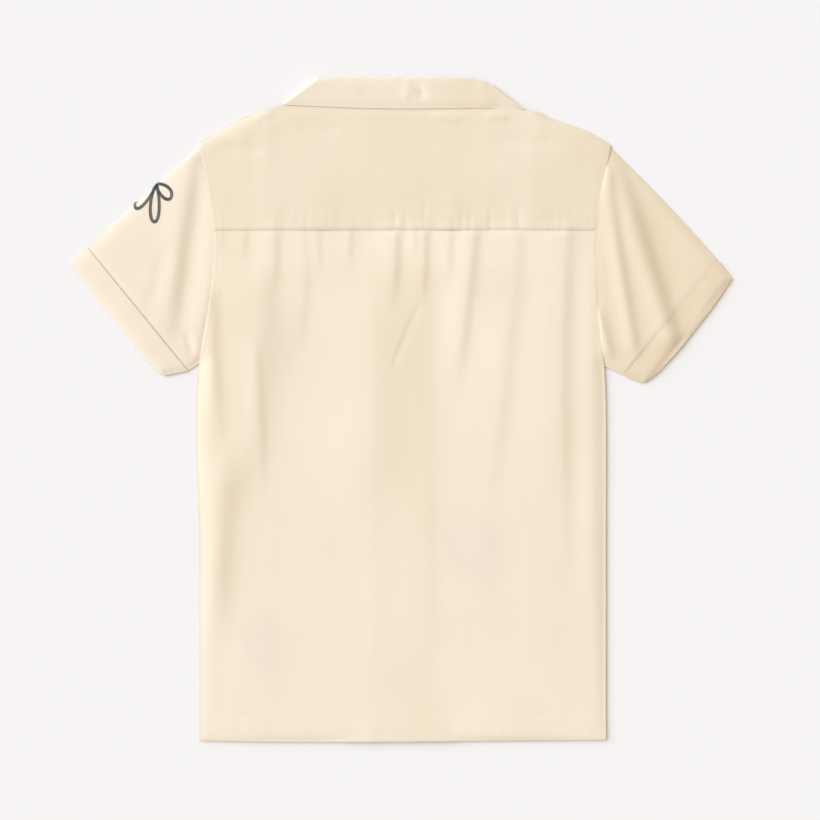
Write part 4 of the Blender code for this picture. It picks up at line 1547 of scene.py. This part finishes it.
@dataclass
class Collar(ClothPiece):
    """The collar: its fall and stand, from one leaf under the fronts round the neck to the other."""

    node: str = "collar"
    cut: Pair = (0.420, 0.062)
    cut_area: float = 0.0165
    held: Held = Held.FOLDED
    rests_on: tuple[str, ...] = ("yoke_cloth",)
    warp_turn: float = math.pi / 2
    middle_z: float = 0.00245
    fall_radius: float = 0.00195
    stand_radius: float = 0.00065
    roll_softness: float = 0.0012
    edge_settle: float = 0.0005
    edge_reach: float = 0.14
    thin: float = 0.0002
    thick: float = 0.0008
    neck_gap: Pair = (0.0009, 0.0006)
    roll_from: float = 0.5
    roll_to: float = 0.7
    fall_share: float = 0.92
    roll_turns: Pair = (12, 168)
    roll_back: float = 0.8
    probe: float = 0.01
    leaf_steps: int = 24
    back_steps: int = 110
    fold_turns: tuple[int, ...] = (-75, -60, -45, -30, -15, 0, 15, 30, 45, 60, 75)
    leaf: Rows = (
        (-0.0500, 0.2192, -0.0466, 0.2200, -0.0965, 0.2045),
        (-0.0620, 0.2320, -0.0530, 0.2360, -0.1005, 0.2230),
        (-0.0725, 0.2490, -0.0610, 0.2550, -0.1025, 0.2440),
        (-0.0790, 0.2680, -0.0680, 0.2760, -0.1020, 0.2600),
    )
    left_fold: tuple[float, ...] = (-0.0808, 0.2792, -0.0712, 0.2900, -0.1026, 0.2680)
    back: Rows = (
        (-0.0600, 0.2748, -0.0560, 0.2921, -0.0740, 0.2668),
        (-0.0300, 0.2710, -0.0280, 0.2920, -0.0400, 0.2653),
        (0.0000, 0.2697, 0.0030, 0.2918, 0.0000, 0.2646),
        (0.0300, 0.2706, 0.0340, 0.2916, 0.0360, 0.2648),
        (0.0600, 0.2734, 0.0670, 0.2899, 0.0760, 0.2652),
    )
    right_fold: tuple[float, ...] = (0.0808, 0.2770, 0.0774, 0.2844, 0.1068, 0.2630)
    left_outward: Pair = (-0.573, 0.820)
    right_outward: Pair = (0.590, 0.807)
    marked: bool = True
    # painted shade: the collar's cotton darkens towards its right end
    shaded_end: Pair = (0.060, 0.005)
    shaded_share: float = 0.72
    bumps: tuple[Bump, ...] = (
        Crease((-0.0050, 0.2945), (0.0160, 0.2825), 0.0016, -0.0013, -0.0012, 1.6),
        Crease((0.0140, 0.2900), (0.0210, 0.2720), 0.0035, -0.0011),
        Crease((0.0060, 0.2880), (0.0050, 0.2700), 0.0040, 0.0006),
        Crease((0.0440, 0.3080), (0.1340, 0.2430), 0.0100, -0.0022),
        Crease((0.0650, 0.2900), (0.0800, 0.2660), 0.0060, 0.0005),
        Crease((-0.0500, 0.2900), (-0.0350, 0.2760), 0.0060, 0.0003),
    )

    def sections(self) -> list[tuple[list[float], Vector, float]]:
        """Lists the sections round the neck.

        Returns:
            Each one's row, its outward direction at the shoulder, and its turn in degrees, from -90 under the
            fronts to 90 on the back.
        """
        right_leaf = [
            [-value if i % 2 == 0 else value for i, value in enumerate(row)] for row in self.leaf[::-1]
        ]
        left, right = Vector(self.left_outward).to_3d(), Vector(self.right_outward).to_3d()
        steps = [i / self.leaf_steps for i in range(self.leaf_steps + 1)]
        back_steps = [i / self.back_steps for i in range(self.back_steps + 1)]
        found = [(between([*self.leaf, self.left_fold], t), left, -90.0) for t in steps]
        found += [(list(self.left_fold), left, float(turn)) for turn in self.fold_turns]
        found += [(between([self.left_fold, *self.back, self.right_fold], t), left, 90.0) for t in back_steps]
        found += [(list(self.right_fold), right, float(turn)) for turn in self.fold_turns[::-1]]
        found += [(between([self.right_fold, *right_leaf], t), right, -90.0) for t in steps]
        return found

    def lines(self) -> tuple[list[float], list[float]]:
        """Returns the columns, one a section, and the rows from the fall's edge to the neck seam."""
        count = len(self.sections())
        return spread((0, 1, count - 1)), spread((0, 0.02, 2), (0.02, 0.5, 14), (0.5, 0.7, 10), (0.7, 1, 8))

    def neck_seam(self, x: float, y: float, turn: float) -> Pair:
        """Moves a point of the neck seam into the open neck where it would touch the cloth below.

        Args:
            x: place across the shirt.
            y: place up the shirt.
            turn: the section's turn in degrees.

        Returns:
            (x, y) of the point.
        """
        if turn < 90:
            limit = -follow(self.lay.front_edge, y) - self.neck_gap[0]
            x = max(-limit, min(limit, x))
        if turn > -90:
            y = max(y, self.lay.shoulder_y(x) + self.neck_gap[1])
        return x, y

    def marks(self, at: Vector) -> Pair:
        """Returns the painted shade at a point, which darkens the collar towards the right shoulder."""
        return 0.0, self.shaded_share * ramp(at.x, *self.shaded_end)

    def crease(self, at: Vector) -> float:
        """Returns the height of the creases at a point of the collar's upper side."""
        return sum(bump.at(at.x, at.y) for bump in self.bumps)

    def middle(self, section: tuple[list[float], Vector, float], v: float) -> Vector:
        """Finds a point halfway through the collar's cloth.

        Args:
            section: the section's row, outward direction and turn.
            v: 0 at the fall's edge, halfway from roll_from to roll_to at the roll line, 1 at the neck seam.

        Returns:
            The point.
        """
        row, outward, turn = section
        neck_x, neck_y, roll_x, roll_y, edge_x, edge_y = row
        angle = math.radians(turn)
        face = outward * math.cos(angle) + Vector((0, 0, math.sin(angle)))
        neck = Vector((*self.neck_seam(neck_x, neck_y, turn), self.middle_z))
        roll = Vector((roll_x, roll_y, self.middle_z))
        edge = Vector((edge_x, edge_y, self.middle_z))
        beyond = (roll - edge).normalized()
        on_back = max(0.0, math.sin(angle))
        soft = self.roll_softness * on_back
        radius = (self.fall_radius + soft - self.stand_radius) / 2
        if v < self.roll_from:
            s = v / self.roll_from * self.fall_share
            settled = self.edge_settle * (1 - smooth(s / 0.2)) * on_back
            point = edge.lerp(roll, s) + face * (self.fall_radius + soft * smooth(s / 0.9) - settled)
            return point + Vector((0, 0, self.crease(point) * on_back))
        if v < self.roll_to:
            share = (v - self.roll_from) / (self.roll_to - self.roll_from)
            turned = math.radians(mix(*self.roll_turns, share))
            way = face * math.cos(turned) + beyond * math.sin(turned)
            over = roll + face * (self.stand_radius + radius) + way * radius
            over -= beyond * radius * self.roll_back
            return over + Vector((0, 0, self.crease(over) * on_back * (1 + math.cos(turned)) / 2))
        along = mix(0.1, 1.0, (v - self.roll_to) / (1 - self.roll_to))
        return roll.lerp(neck, along) + face * self.stand_radius

    def place(self, u: float, v: float) -> Walls:
        """Returns the points of the two skins at u round the neck and v across the collar."""
        sections = self.sections()
        i = round(u * (len(sections) - 1))
        here = self.middle(sections[i], v)
        before, after = sections[max(i - 1, 0)], sections[min(i + 1, len(sections) - 1)]
        round_neck = self.middle(after, v) - self.middle(before, v)
        low, high = max(v - self.probe, 0.0), min(v + self.probe, 1.0)
        across = self.middle(sections[i], high) - self.middle(sections[i], low)
        normal = across.cross(round_neck).normalized()
        half = mix(self.thin, self.thick, smooth(v / self.edge_reach)) / 2
        return here + normal * half, here - normal * half


@dataclass
class Lapel(ClothPiece):
    """The lapel, turned out under its front from the roll line."""

    side: Side = Side.LEFT
    cut: Pair = (0.072, 0.075)
    cut_area: float = 0.0021
    held: Held = Held.FOLDED
    rolls: Rows = (
        (0.1510, -0.0145, 0.1490),
        (0.1655, -0.0400, 0.1590),
        (0.1835, -0.0640, 0.1725),
        (0.2010, -0.0790, 0.1875),
        (0.2160, -0.0850, 0.1965),
    )
    lowest: float = 0.00018
    waver: Waver = Waver(0.00008, 60, 60, 4.0)
    rim: float = 0.0002
    rim_from: float = 0.97

    def lines(self) -> tuple[list[float], list[float]]:
        """Returns the columns and rows of the lapel."""
        return spread((0, 0.98, 16), (0.98, 1, 1)), spread((0, 1, 26))

    def place(self, u: float, v: float) -> Walls:
        """Returns the points of the two skins at u out from the roll line and v up the lapel."""
        roll_y, edge_x, edge_y = between(self.rolls, v)
        x = mix(follow(self.lay.front_edge, roll_y), edge_x, u)
        y = mix(roll_y, edge_y, u)
        x *= -self.side.value
        rim = self.rim * smooth((u - self.rim_from) / (1 - self.rim_from))
        low = self.lowest + self.waver.at(x, y)
        return Vector((x, y, low + rim)), Vector((x, y, low + self.lay.wall - rim))


@dataclass
class Closure:
    """The five buttons of the front closure, their thread and the buttonholes round them."""

    radius: float = 0.0056
    thickness: float = 0.0018
    rim: float = 0.0009
    top_y: float = 0.1220
    pitch: float = 0.0770
    count: int = 5
    hole_radius: float = 0.0008
    hole_offset: float = 0.0013
    slit_length: float = 0.0135
    made: list[bpy.types.Object] = field(default_factory=list)

    def build(self) -> None:
        """Makes each button, face down on the floor under the placket."""
        for index in range(self.count):
            self.made.append(self.button(index, self.top_y - index * self.pitch))

    def button(self, index: int, y: float) -> bpy.types.Object:
        """Makes one button with a raised rim, a dished middle and four holes.

        Args:
            index: its number, from the neck down.
            y: its place up the shirt.

        Returns:
            The button.
        """
        bm = bmesh.new()
        bmesh.ops.create_cone(
            bm, cap_ends=True, segments=48, radius1=self.radius, radius2=self.radius, depth=self.thickness
        )
        face = [f for f in bm.faces if f.normal.z < -0.9]
        bmesh.ops.inset_region(bm, faces=face, thickness=self.rim, depth=0.0)
        bmesh.ops.inset_region(bm, faces=face, thickness=self.rim * 0.5, depth=-self.rim * 0.35)
        rings = [e for e in bm.edges if e.is_manifold and e.calc_face_angle(0.0) > math.radians(60)]
        bmesh.ops.bevel(
            bm, geom=rings, offset=0.0004, offset_type="OFFSET", affect="EDGES", segments=3, profile=0.5,
            material=-1,
        )
        bmesh.ops.translate(bm, verts=bm.verts, vec=(0.0, y, self.thickness / 2))
        bmesh.ops.recalc_face_normals(bm, faces=bm.faces)
        made = make_object(bm, f"button_piece_{index + 1}", 35.0)
        holes = bmesh.new()
        for i in range(4):
            turn = math.radians(45 + 90 * i)
            at = Vector((math.cos(turn), math.sin(turn), 0.0)) * self.hole_offset + Vector((0.0, y, 0.0))
            bmesh.ops.create_cone(
                holes, cap_ends=True, segments=16, radius1=self.hole_radius, radius2=self.hole_radius,
                depth=self.thickness * 4, matrix=Matrix.Translation(at),
            )
        cutter = make_object(holes, f"button_holes_{index + 1}")
        cut = made.modifiers.new("holes", "BOOLEAN")
        cut.operation = "DIFFERENCE"
        cut.object = cutter
        graph = bpy.context.evaluated_depsgraph_get()
        mesh = bpy.data.meshes.new_from_object(made.evaluated_get(graph))
        made.modifiers.clear()
        made.data = mesh
        bpy.data.objects.remove(cutter)
        return made

    def dress(self, horn: Horn, thread: SewingThread) -> None:
        """Gives the buttons their horn and sews each one on.

        Args:
            horn: the buttons' finish.
            thread: the thread's finish.
        """
        sewn: list[Matrix] = []
        slits: list[Matrix] = []
        up = Vector((0.0, 0.0, -1.0))
        for index, made in enumerate(self.made):
            made.data.materials.append(horn.material(f"horn_{index + 1}"))
            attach(made, "root")
            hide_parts(f"button_{index + 1}")
            y = self.top_y - index * self.pitch
            for turn in (45, 135):
                way = Vector((math.cos(math.radians(turn)), math.sin(math.radians(turn)), 0.0))
                for shift in (-0.0002, 0.0002):
                    at = Vector((0.0, y, 0.0006)) + way.cross(up) * shift
                    sewn.append(stitch_matrix(at, way, up, self.hole_offset * 2.5, 0.00022))
            rows = 22
            for i in range(rows):
                along = mix(-0.5, 0.5, i / (rows - 1)) * self.slit_length
                for aside in (-1, 1):
                    at = Vector((aside * 0.0010, y + along, 0.00195))
                    slits.append(stitch_matrix(at, Vector((1.0, 0.0, 0.0)), up, 0.0017, 0.00022))
        finish = thread.material("button_thread")
        for name, places in (("button_threads", sewn), ("buttonholes", slits)):
            made = repeat(stitch_shape(), name, places)
            made.data.materials.append(finish)
            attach(made, "root")
        LOG.info("closure: %d buttons", self.count)


def stitch_matrix(at: Vector, along: Vector, up: Vector, length: float, radius: float) -> Matrix:
    """Places one stitch.

    Args:
        at: its middle.
        along: its direction.
        up: the cloth's outward direction there.
        length: its length.
        radius: half its width.

    Returns:
        The matrix that turns the unit stitch into it.
    """
    z_axis = along.normalized()
    x_axis = up.cross(z_axis).normalized()
    y_axis = z_axis.cross(x_axis)
    turn = Matrix((x_axis, y_axis, z_axis)).transposed().to_4x4()
    return Matrix.Translation(at) @ turn @ Matrix.Diagonal((radius, radius * 0.75, length / 2, 1.0))


def stitch_shape() -> bmesh.types.BMesh:
    """Makes the unit stitch, a slim bead along z.

    Returns:
        A bmesh of it.
    """
    bm = bmesh.new()
    bmesh.ops.create_uvsphere(bm, u_segments=6, v_segments=4, radius=1.0)
    for vert in bm.verts:
        if abs(vert.co.z) < 0.9:
            vert.co.x *= 1.0 + 0.25 * abs(vert.co.z)
            vert.co.y *= 1.0 + 0.25 * abs(vert.co.z)
    return bm


def link_shape() -> bmesh.types.BMesh:
    """Makes the unit chain stitch, a flat drop-shaped ring along z that is thin along y.

    Returns:
        A bmesh of it.
    """
    bm = bmesh.new()
    aside = Matrix.Translation((0.64, 0.0, 0.0))
    section = bmesh.ops.create_circle(bm, segments=6, radius=0.36, matrix=aside)
    bmesh.ops.spin(
        bm, geom=section["verts"] + bm.edges[:], cent=(0, 0, 0), axis=(0, 1, 0), angle=2 * math.pi, steps=12,
        use_merge=True,
    )
    bmesh.ops.remove_doubles(bm, verts=bm.verts, dist=1e-4)
    for vert in bm.verts:
        vert.co.x *= 1.0 - 0.30 * vert.co.z
    bmesh.ops.recalc_face_normals(bm, faces=bm.faces)
    return bm


def repeat(shape: bmesh.types.BMesh, name: str, places: Sequence[Matrix]) -> bpy.types.Object:
    """Joins many copies of one small shape into an object.

    Args:
        shape: the shape, which is freed.
        name: the object's name.
        places: a matrix for each copy.

    Returns:
        The object.
    """
    one = bpy.data.meshes.new(f"{name}_one")
    shape.to_mesh(one)
    shape.free()
    count = len(one.vertices)
    bm = bmesh.new()
    for matrix in places:
        bm.from_mesh(one)
        bm.verts.ensure_lookup_table()
        bmesh.ops.transform(bm, matrix=matrix, verts=bm.verts[-count:])
    bpy.data.meshes.remove(one)
    return make_object(bm, name, 60.0)


def stepped(points: Sequence[Vector], pitch: float) -> list[tuple[Vector, Vector]]:
    """Steps along a line at an even pitch.

    Args:
        points: the points of the line, close together.
        pitch: the distance from one step to the next.

    Returns:
        The place and the direction of each step.
    """
    found: list[tuple[Vector, Vector]] = []
    wanted = pitch / 2
    gone = 0.0
    for a, b in zip(points, points[1:]):
        step = (b - a).length
        while step > 0 and gone + step >= wanted:
            found.append((a.lerp(b, (wanted - gone) / step), (b - a).normalized()))
            wanted += pitch
        gone += step
    return found


@dataclass
class Needlework:
    """The rows of machine stitches that show on the shirt."""

    lay: Lay
    back: Back
    yoke: Yoke
    fronts: tuple[Front, Front]
    pitch: float = 0.0030
    length: float = 0.0022
    radius: float = 0.00020
    raised: float = 0.00004
    wander: float = 0.00008
    unevenness: float = 0.12
    end_gap: float = 0.001
    armhole_y: Pair = (0.052, 0.2290)
    hem_x: Pair = (-0.1765, 0.1795)
    front_hem_x: Pair = (0.0140, 0.1765)
    placket_share: float = 0.93
    placket_v: Pair = (0.004, 0.724)
    made: list[bpy.types.Object] = field(default_factory=list)

    def rows(self) -> dict[str, tuple[list[Vector], float]]:
        """Lists the stitched lines.

        Returns:
            Under each row's name, its points and the direction, up or down, that it faces.
        """
        lay = self.lay
        steps = [i / 240 for i in range(241)]
        lines: dict[str, tuple[list[Vector], float]] = {}
        for name, y in (
            ("yoke_edge_stitches", lay.yoke_seam_y + self.yoke.edge_stitch),
            ("yoke_fold_stitches", lay.yoke_seam_y + self.yoke.fold_depth),
        ):
            xs = [mix(lay.left_edge(y) + self.end_gap, lay.right_edge(y) - self.end_gap, t) for t in steps]
            lines[name] = ([Vector((x, y, self.yoke.top(x, y))) for x in xs], 1.0)
        for side in Side:
            edge = lay.body_edge(side)
            ys = [mix(*self.armhole_y, t) for t in steps]
            spots = [(edge(y) - side.value * lay.armhole_stitch, y) for y in ys]
            name = f"armhole_{side.name.lower()}_stitches"
            lines[name] = ([Vector((x, y, self.surface(x, y))) for x, y in spots], 1.0)
        spots = [(x, lay.hem_y(x) + lay.hem_depth) for x in (mix(*self.hem_x, t) for t in steps)]
        lines["hem_stitches"] = ([Vector((x, y, self.surface(x, y))) for x, y in spots], 1.0)
        for front in self.fronts:
            u = front.band_share * self.placket_share
            points = [front.place(u, mix(*self.placket_v, t))[0] for t in steps]
            lines[f"{front.node}_placket_stitches"] = (points, -1.0)
            ends = sorted(front.side.value * end for end in self.front_hem_x)
            spots = [(x, lay.hem_y(x) + lay.hem_depth) for x in (mix(*ends, t) for t in steps)]
            points = [Vector((x, y, front.under(x, y))) for x, y in spots]
            lines[f"{front.node}_hem_stitches"] = (points, -1.0)
        return lines

    def surface(self, x: float, y: float) -> float:
        """Returns the height of the back or yoke, whichever is at a place."""
        if y >= self.lay.yoke_seam_y:
            return self.yoke.top(x, y)
        low, high = self.lay.hem_y(x), self.lay.yoke_seam_y
        left, right = self.lay.left_edge(y), self.lay.right_edge(y)
        share = (y - low) / (high + self.back.under_yoke - low)
        return self.back.place((x - left) / (right - left), share)[1].z

    def build(self) -> None:
        """Makes each row of stitches as one piece."""
        for name, (points, way) in self.rows().items():
            up = Vector((0.0, 0.0, way))
            places = []
            for i, (at, along) in enumerate(stepped(points, self.pitch)):
                uneven = noise.noise(Vector((i * 0.9, way, len(name))))
                length = self.length * (1 + self.unevenness * uneven)
                aside = up.cross(along).normalized() * self.wander * uneven
                places.append(stitch_matrix(at + aside + up * self.raised, along, up, length, self.radius))
            self.made.append(repeat(stitch_shape(), name, places))

    def dress(self, thread: SewingThread) -> None:
        """Gives the stitches their thread.

        Args:
            thread: the finish.
        """
        finish = thread.material("seam_thread")
        for made in self.made:
            made.data.materials.append(finish)
            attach(made, "root")
        LOG.info("needlework: %d rows", len(self.made))


@dataclass
class Embroidery:
    """Chain-stitched sprigs: one over the fold of the left sleeve, and those on the fronts."""

    sleeve: Sleeve
    fronts: tuple[Front, Front]
    pitch: float = 0.0019
    link_length: float = 0.0030
    link_width: float = 0.0030
    yarn: float = 0.00085
    least_z: float = 0.00005
    sleeve_rise: float = 0.00015
    front_rise: float = 0.00022
    probe: float = 0.0006
    leaf_points: int = 64
    sleeve_share: float = 0.3980
    sleeve_leaves: tuple[Leaf, ...] = (
        Leaf(59, 0.0295, 0.0104),
        Leaf(117, 0.0215, 0.0092),
        Leaf(7, 0.0265, 0.0090),
        Leaf(-58, 0.0280, 0.0105),
        Leaf(-118, 0.0240, 0.0095),
    )
    made: list[bpy.types.Object] = field(default_factory=list)

    def link(self, at: Vector, along: Vector, up: Vector) -> Matrix:
        """Returns the matrix that places one chain stitch at a point, along and up."""
        flat = stitch_matrix(at, along, up, self.link_length, self.link_width / 2)
        return flat @ Matrix.Diagonal((1.0, self.yarn / self.link_width * 1.333, 1.0, 1.0))

    def on_sleeve(self, along: float, arc: float) -> Vector:
        """Finds a point of the sleeve near its upper fold.

        Args:
            along: distance from the sprig's centre towards the cuff.
            arc: distance along the cloth from the fold, below 0 on the underside.

        Returns:
            The point.
        """
        ways = self.sleeve.ways
        length = (ways.inner(0) - ways.seam(0)).length
        share = self.sleeve_share + along / length
        return self.sleeve.wrapped(share * self.sleeve.cuff_share, arc)

    def build(self) -> None:
        """Makes the sprigs."""
        places = []
        for leaf in self.sleeve_leaves:
            flat = [Vector((*spot, 0.0)) for spot in leaf.outline(self.leaf_points)]
            for at, along in stepped(flat, self.pitch):
                point = self.on_sleeve(at.x, at.y)
                ahead = self.on_sleeve(at.x + along.x * self.probe, at.y + along.y * self.probe)
                aside = self.on_sleeve(at.x - along.y * self.probe, at.y + along.x * self.probe)
                way = ahead - point
                up = way.cross(aside - point).normalized()
                places.append(self.link(point + up * self.sleeve_rise, way.normalized(), up))
        made = repeat(link_shape(), "sleeve_sprig", places)
        for vert in made.data.vertices:
            vert.co.z = max(vert.co.z, self.least_z)
        self.made.append(made)
        for number, sprig in enumerate(FRONT_SPRIGS, 1):
            places = []
            front = self.fronts[0] if sprig.centre[0] < 0 else self.fronts[1]
            for leaf in sprig.leaves:
                centre = Vector((*sprig.centre, 0.0))
                flat = [centre + Vector((*spot, 0.0)) for spot in leaf.outline(self.leaf_points)]
                for at, along in stepped(flat, self.pitch):
                    point = Vector((at.x, at.y, front.under(at.x, at.y) + self.front_rise))
                    places.append(self.link(point, along, Vector((0.0, 0.0, -1.0))))
            self.made.append(repeat(link_shape(), f"front_sprig_{number}", places))

    def dress(self, yarn: Yarn) -> None:
        """Gives the sprigs their yarn.

        Args:
            yarn: the finish.
        """
        finish = yarn.material("charcoal_yarn")
        for made in self.made:
            made.data.materials.append(finish)
            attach(made, "root")
        LOG.info("embroidery: %d sprigs", len(self.made))


@dataclass
class Studio:
    """The floor, the soft light and the camera."""

    centre: Pair = (0.0079, -0.00066)
    field_width: float = 0.7216
    lens: float = 100.0
    sensor: float = 36.0
    cloth_z: float = 0.004
    floor_size: float = 8.0
    key_strength: float = 2.88
    key_softness: float = 58.0
    key_way: tuple[float, float, float] = (-0.74, 0.40, 0.54)
    key_tint: Colour = (0.90, 0.985, 1.155)
    sky: Colour = (1.085, 1.0, 0.860)
    sky_strength: float = 0.600

    def build(self) -> None:
        """Sets up the floor, the light and the camera."""
        bm = bmesh.new()
        bmesh.ops.create_grid(bm, x_segments=1, y_segments=1, size=self.floor_size / 2)
        bmesh.ops.translate(bm, verts=bm.verts, vec=(0.0, 0.0, -0.0001))
        floor = make_object(bm, "floor")
        floor.data.materials.append(Paper().material("backdrop_paper"))
        self.hang_light("window")
        world = bpy.data.worlds.new("studio")
        world.use_nodes = True
        backdrop = world.node_tree.nodes["Background"]
        backdrop.inputs["Color"].default_value = (*self.sky, 1.0)
        backdrop.inputs["Strength"].default_value = self.sky_strength
        scene = bpy.context.scene
        scene.world = world
        scene.view_settings.view_transform = "Standard"
        lens = bpy.data.cameras.new("camera")
        lens.lens = self.lens
        lens.sensor_width = self.sensor
        lens.clip_end = 20.0
        camera = bpy.data.objects.new("camera", lens)
        height = self.field_width * self.lens / self.sensor + self.cloth_z
        camera.location = (*self.centre, height)
        scene.collection.objects.link(camera)
        scene.camera = camera
        LOG.info("studio: camera %.3f m up", height)

    def hang_light(self, name: str) -> None:
        """Hangs the soft key light, which shines evenly from the upper left.

        Args:
            name: its name.
        """
        lamp = bpy.data.lights.new(name, "SUN")
        lamp.angle = math.radians(self.key_softness)
        lamp.energy = self.key_strength
        lamp.color = self.key_tint
        made = bpy.data.objects.new(name, lamp)
        made.location = self.key_way
        made.rotation_euler = (-Vector(self.key_way)).to_track_quat("-Z", "Y").to_euler()
        bpy.context.scene.collection.objects.link(made)


def main() -> None:
    """Builds the shirt piece by piece, dresses it and sets up the studio."""
    logging.basicConfig(level=logging.INFO, format="%(message)s")
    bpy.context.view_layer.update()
    lay = Lay()
    back = Back(lay=lay)
    yoke = Yoke(lay=lay, back=back)
    fronts = (
        Front(lay=lay, node="front_left", side=Side.LEFT),
        Front(lay=lay, node="front_right", side=Side.RIGHT),
    )
    sleeves = (
        Sleeve(lay=lay, node="sleeve_left", side=Side.LEFT, warp_turn=math.radians(-48)),
        # painted shade: the right sleeve's cotton is darkened where the light falls off towards the right
        Sleeve(
            lay=lay, node="sleeve_right", side=Side.RIGHT, warp_turn=math.radians(48), fold_bow=0.0015,
            rests_on=("cuff_right_cloth",), bumps=RIGHT_SLEEVE_BUMPS, tone_and_painted_shade=(1.25, 0.965),
        ),
    )
    cuffs = (
        Cuff(lay=lay, node="cuff_left", side=Side.LEFT, warp_turn=math.radians(-48)),
        # painted shade: the right cuff's cotton is darkened where the light falls off towards the right
        Cuff(
            lay=lay, node="cuff_right", side=Side.RIGHT, warp_turn=math.radians(48),
            rests_on=("sleeve_right_cloth",), bumps=RIGHT_SLEEVE_BUMPS, tone_and_painted_shade=(1.30, 0.955),
        ),
    )
    lapels = (
        Lapel(lay=lay, node="lapel_left", side=Side.LEFT),
        Lapel(lay=lay, node="lapel_right", side=Side.RIGHT),
    )
    cotton = Cotton()
    thread = SewingThread()
    for piece in (back, yoke, *fronts, *sleeves, *cuffs, Collar(lay=lay), *lapels):
        piece.build()
        piece.dress(cotton)
    closure = Closure()
    closure.build()
    closure.dress(Horn(), thread)
    needlework = Needlework(lay, back, yoke, fronts)
    needlework.build()
    needlework.dress(thread)
    embroidery = Embroidery(sleeves[0], fronts)
    embroidery.build()
    embroidery.dress(Yarn())
    Studio().build()


if __name__ == "__main__":
    main()
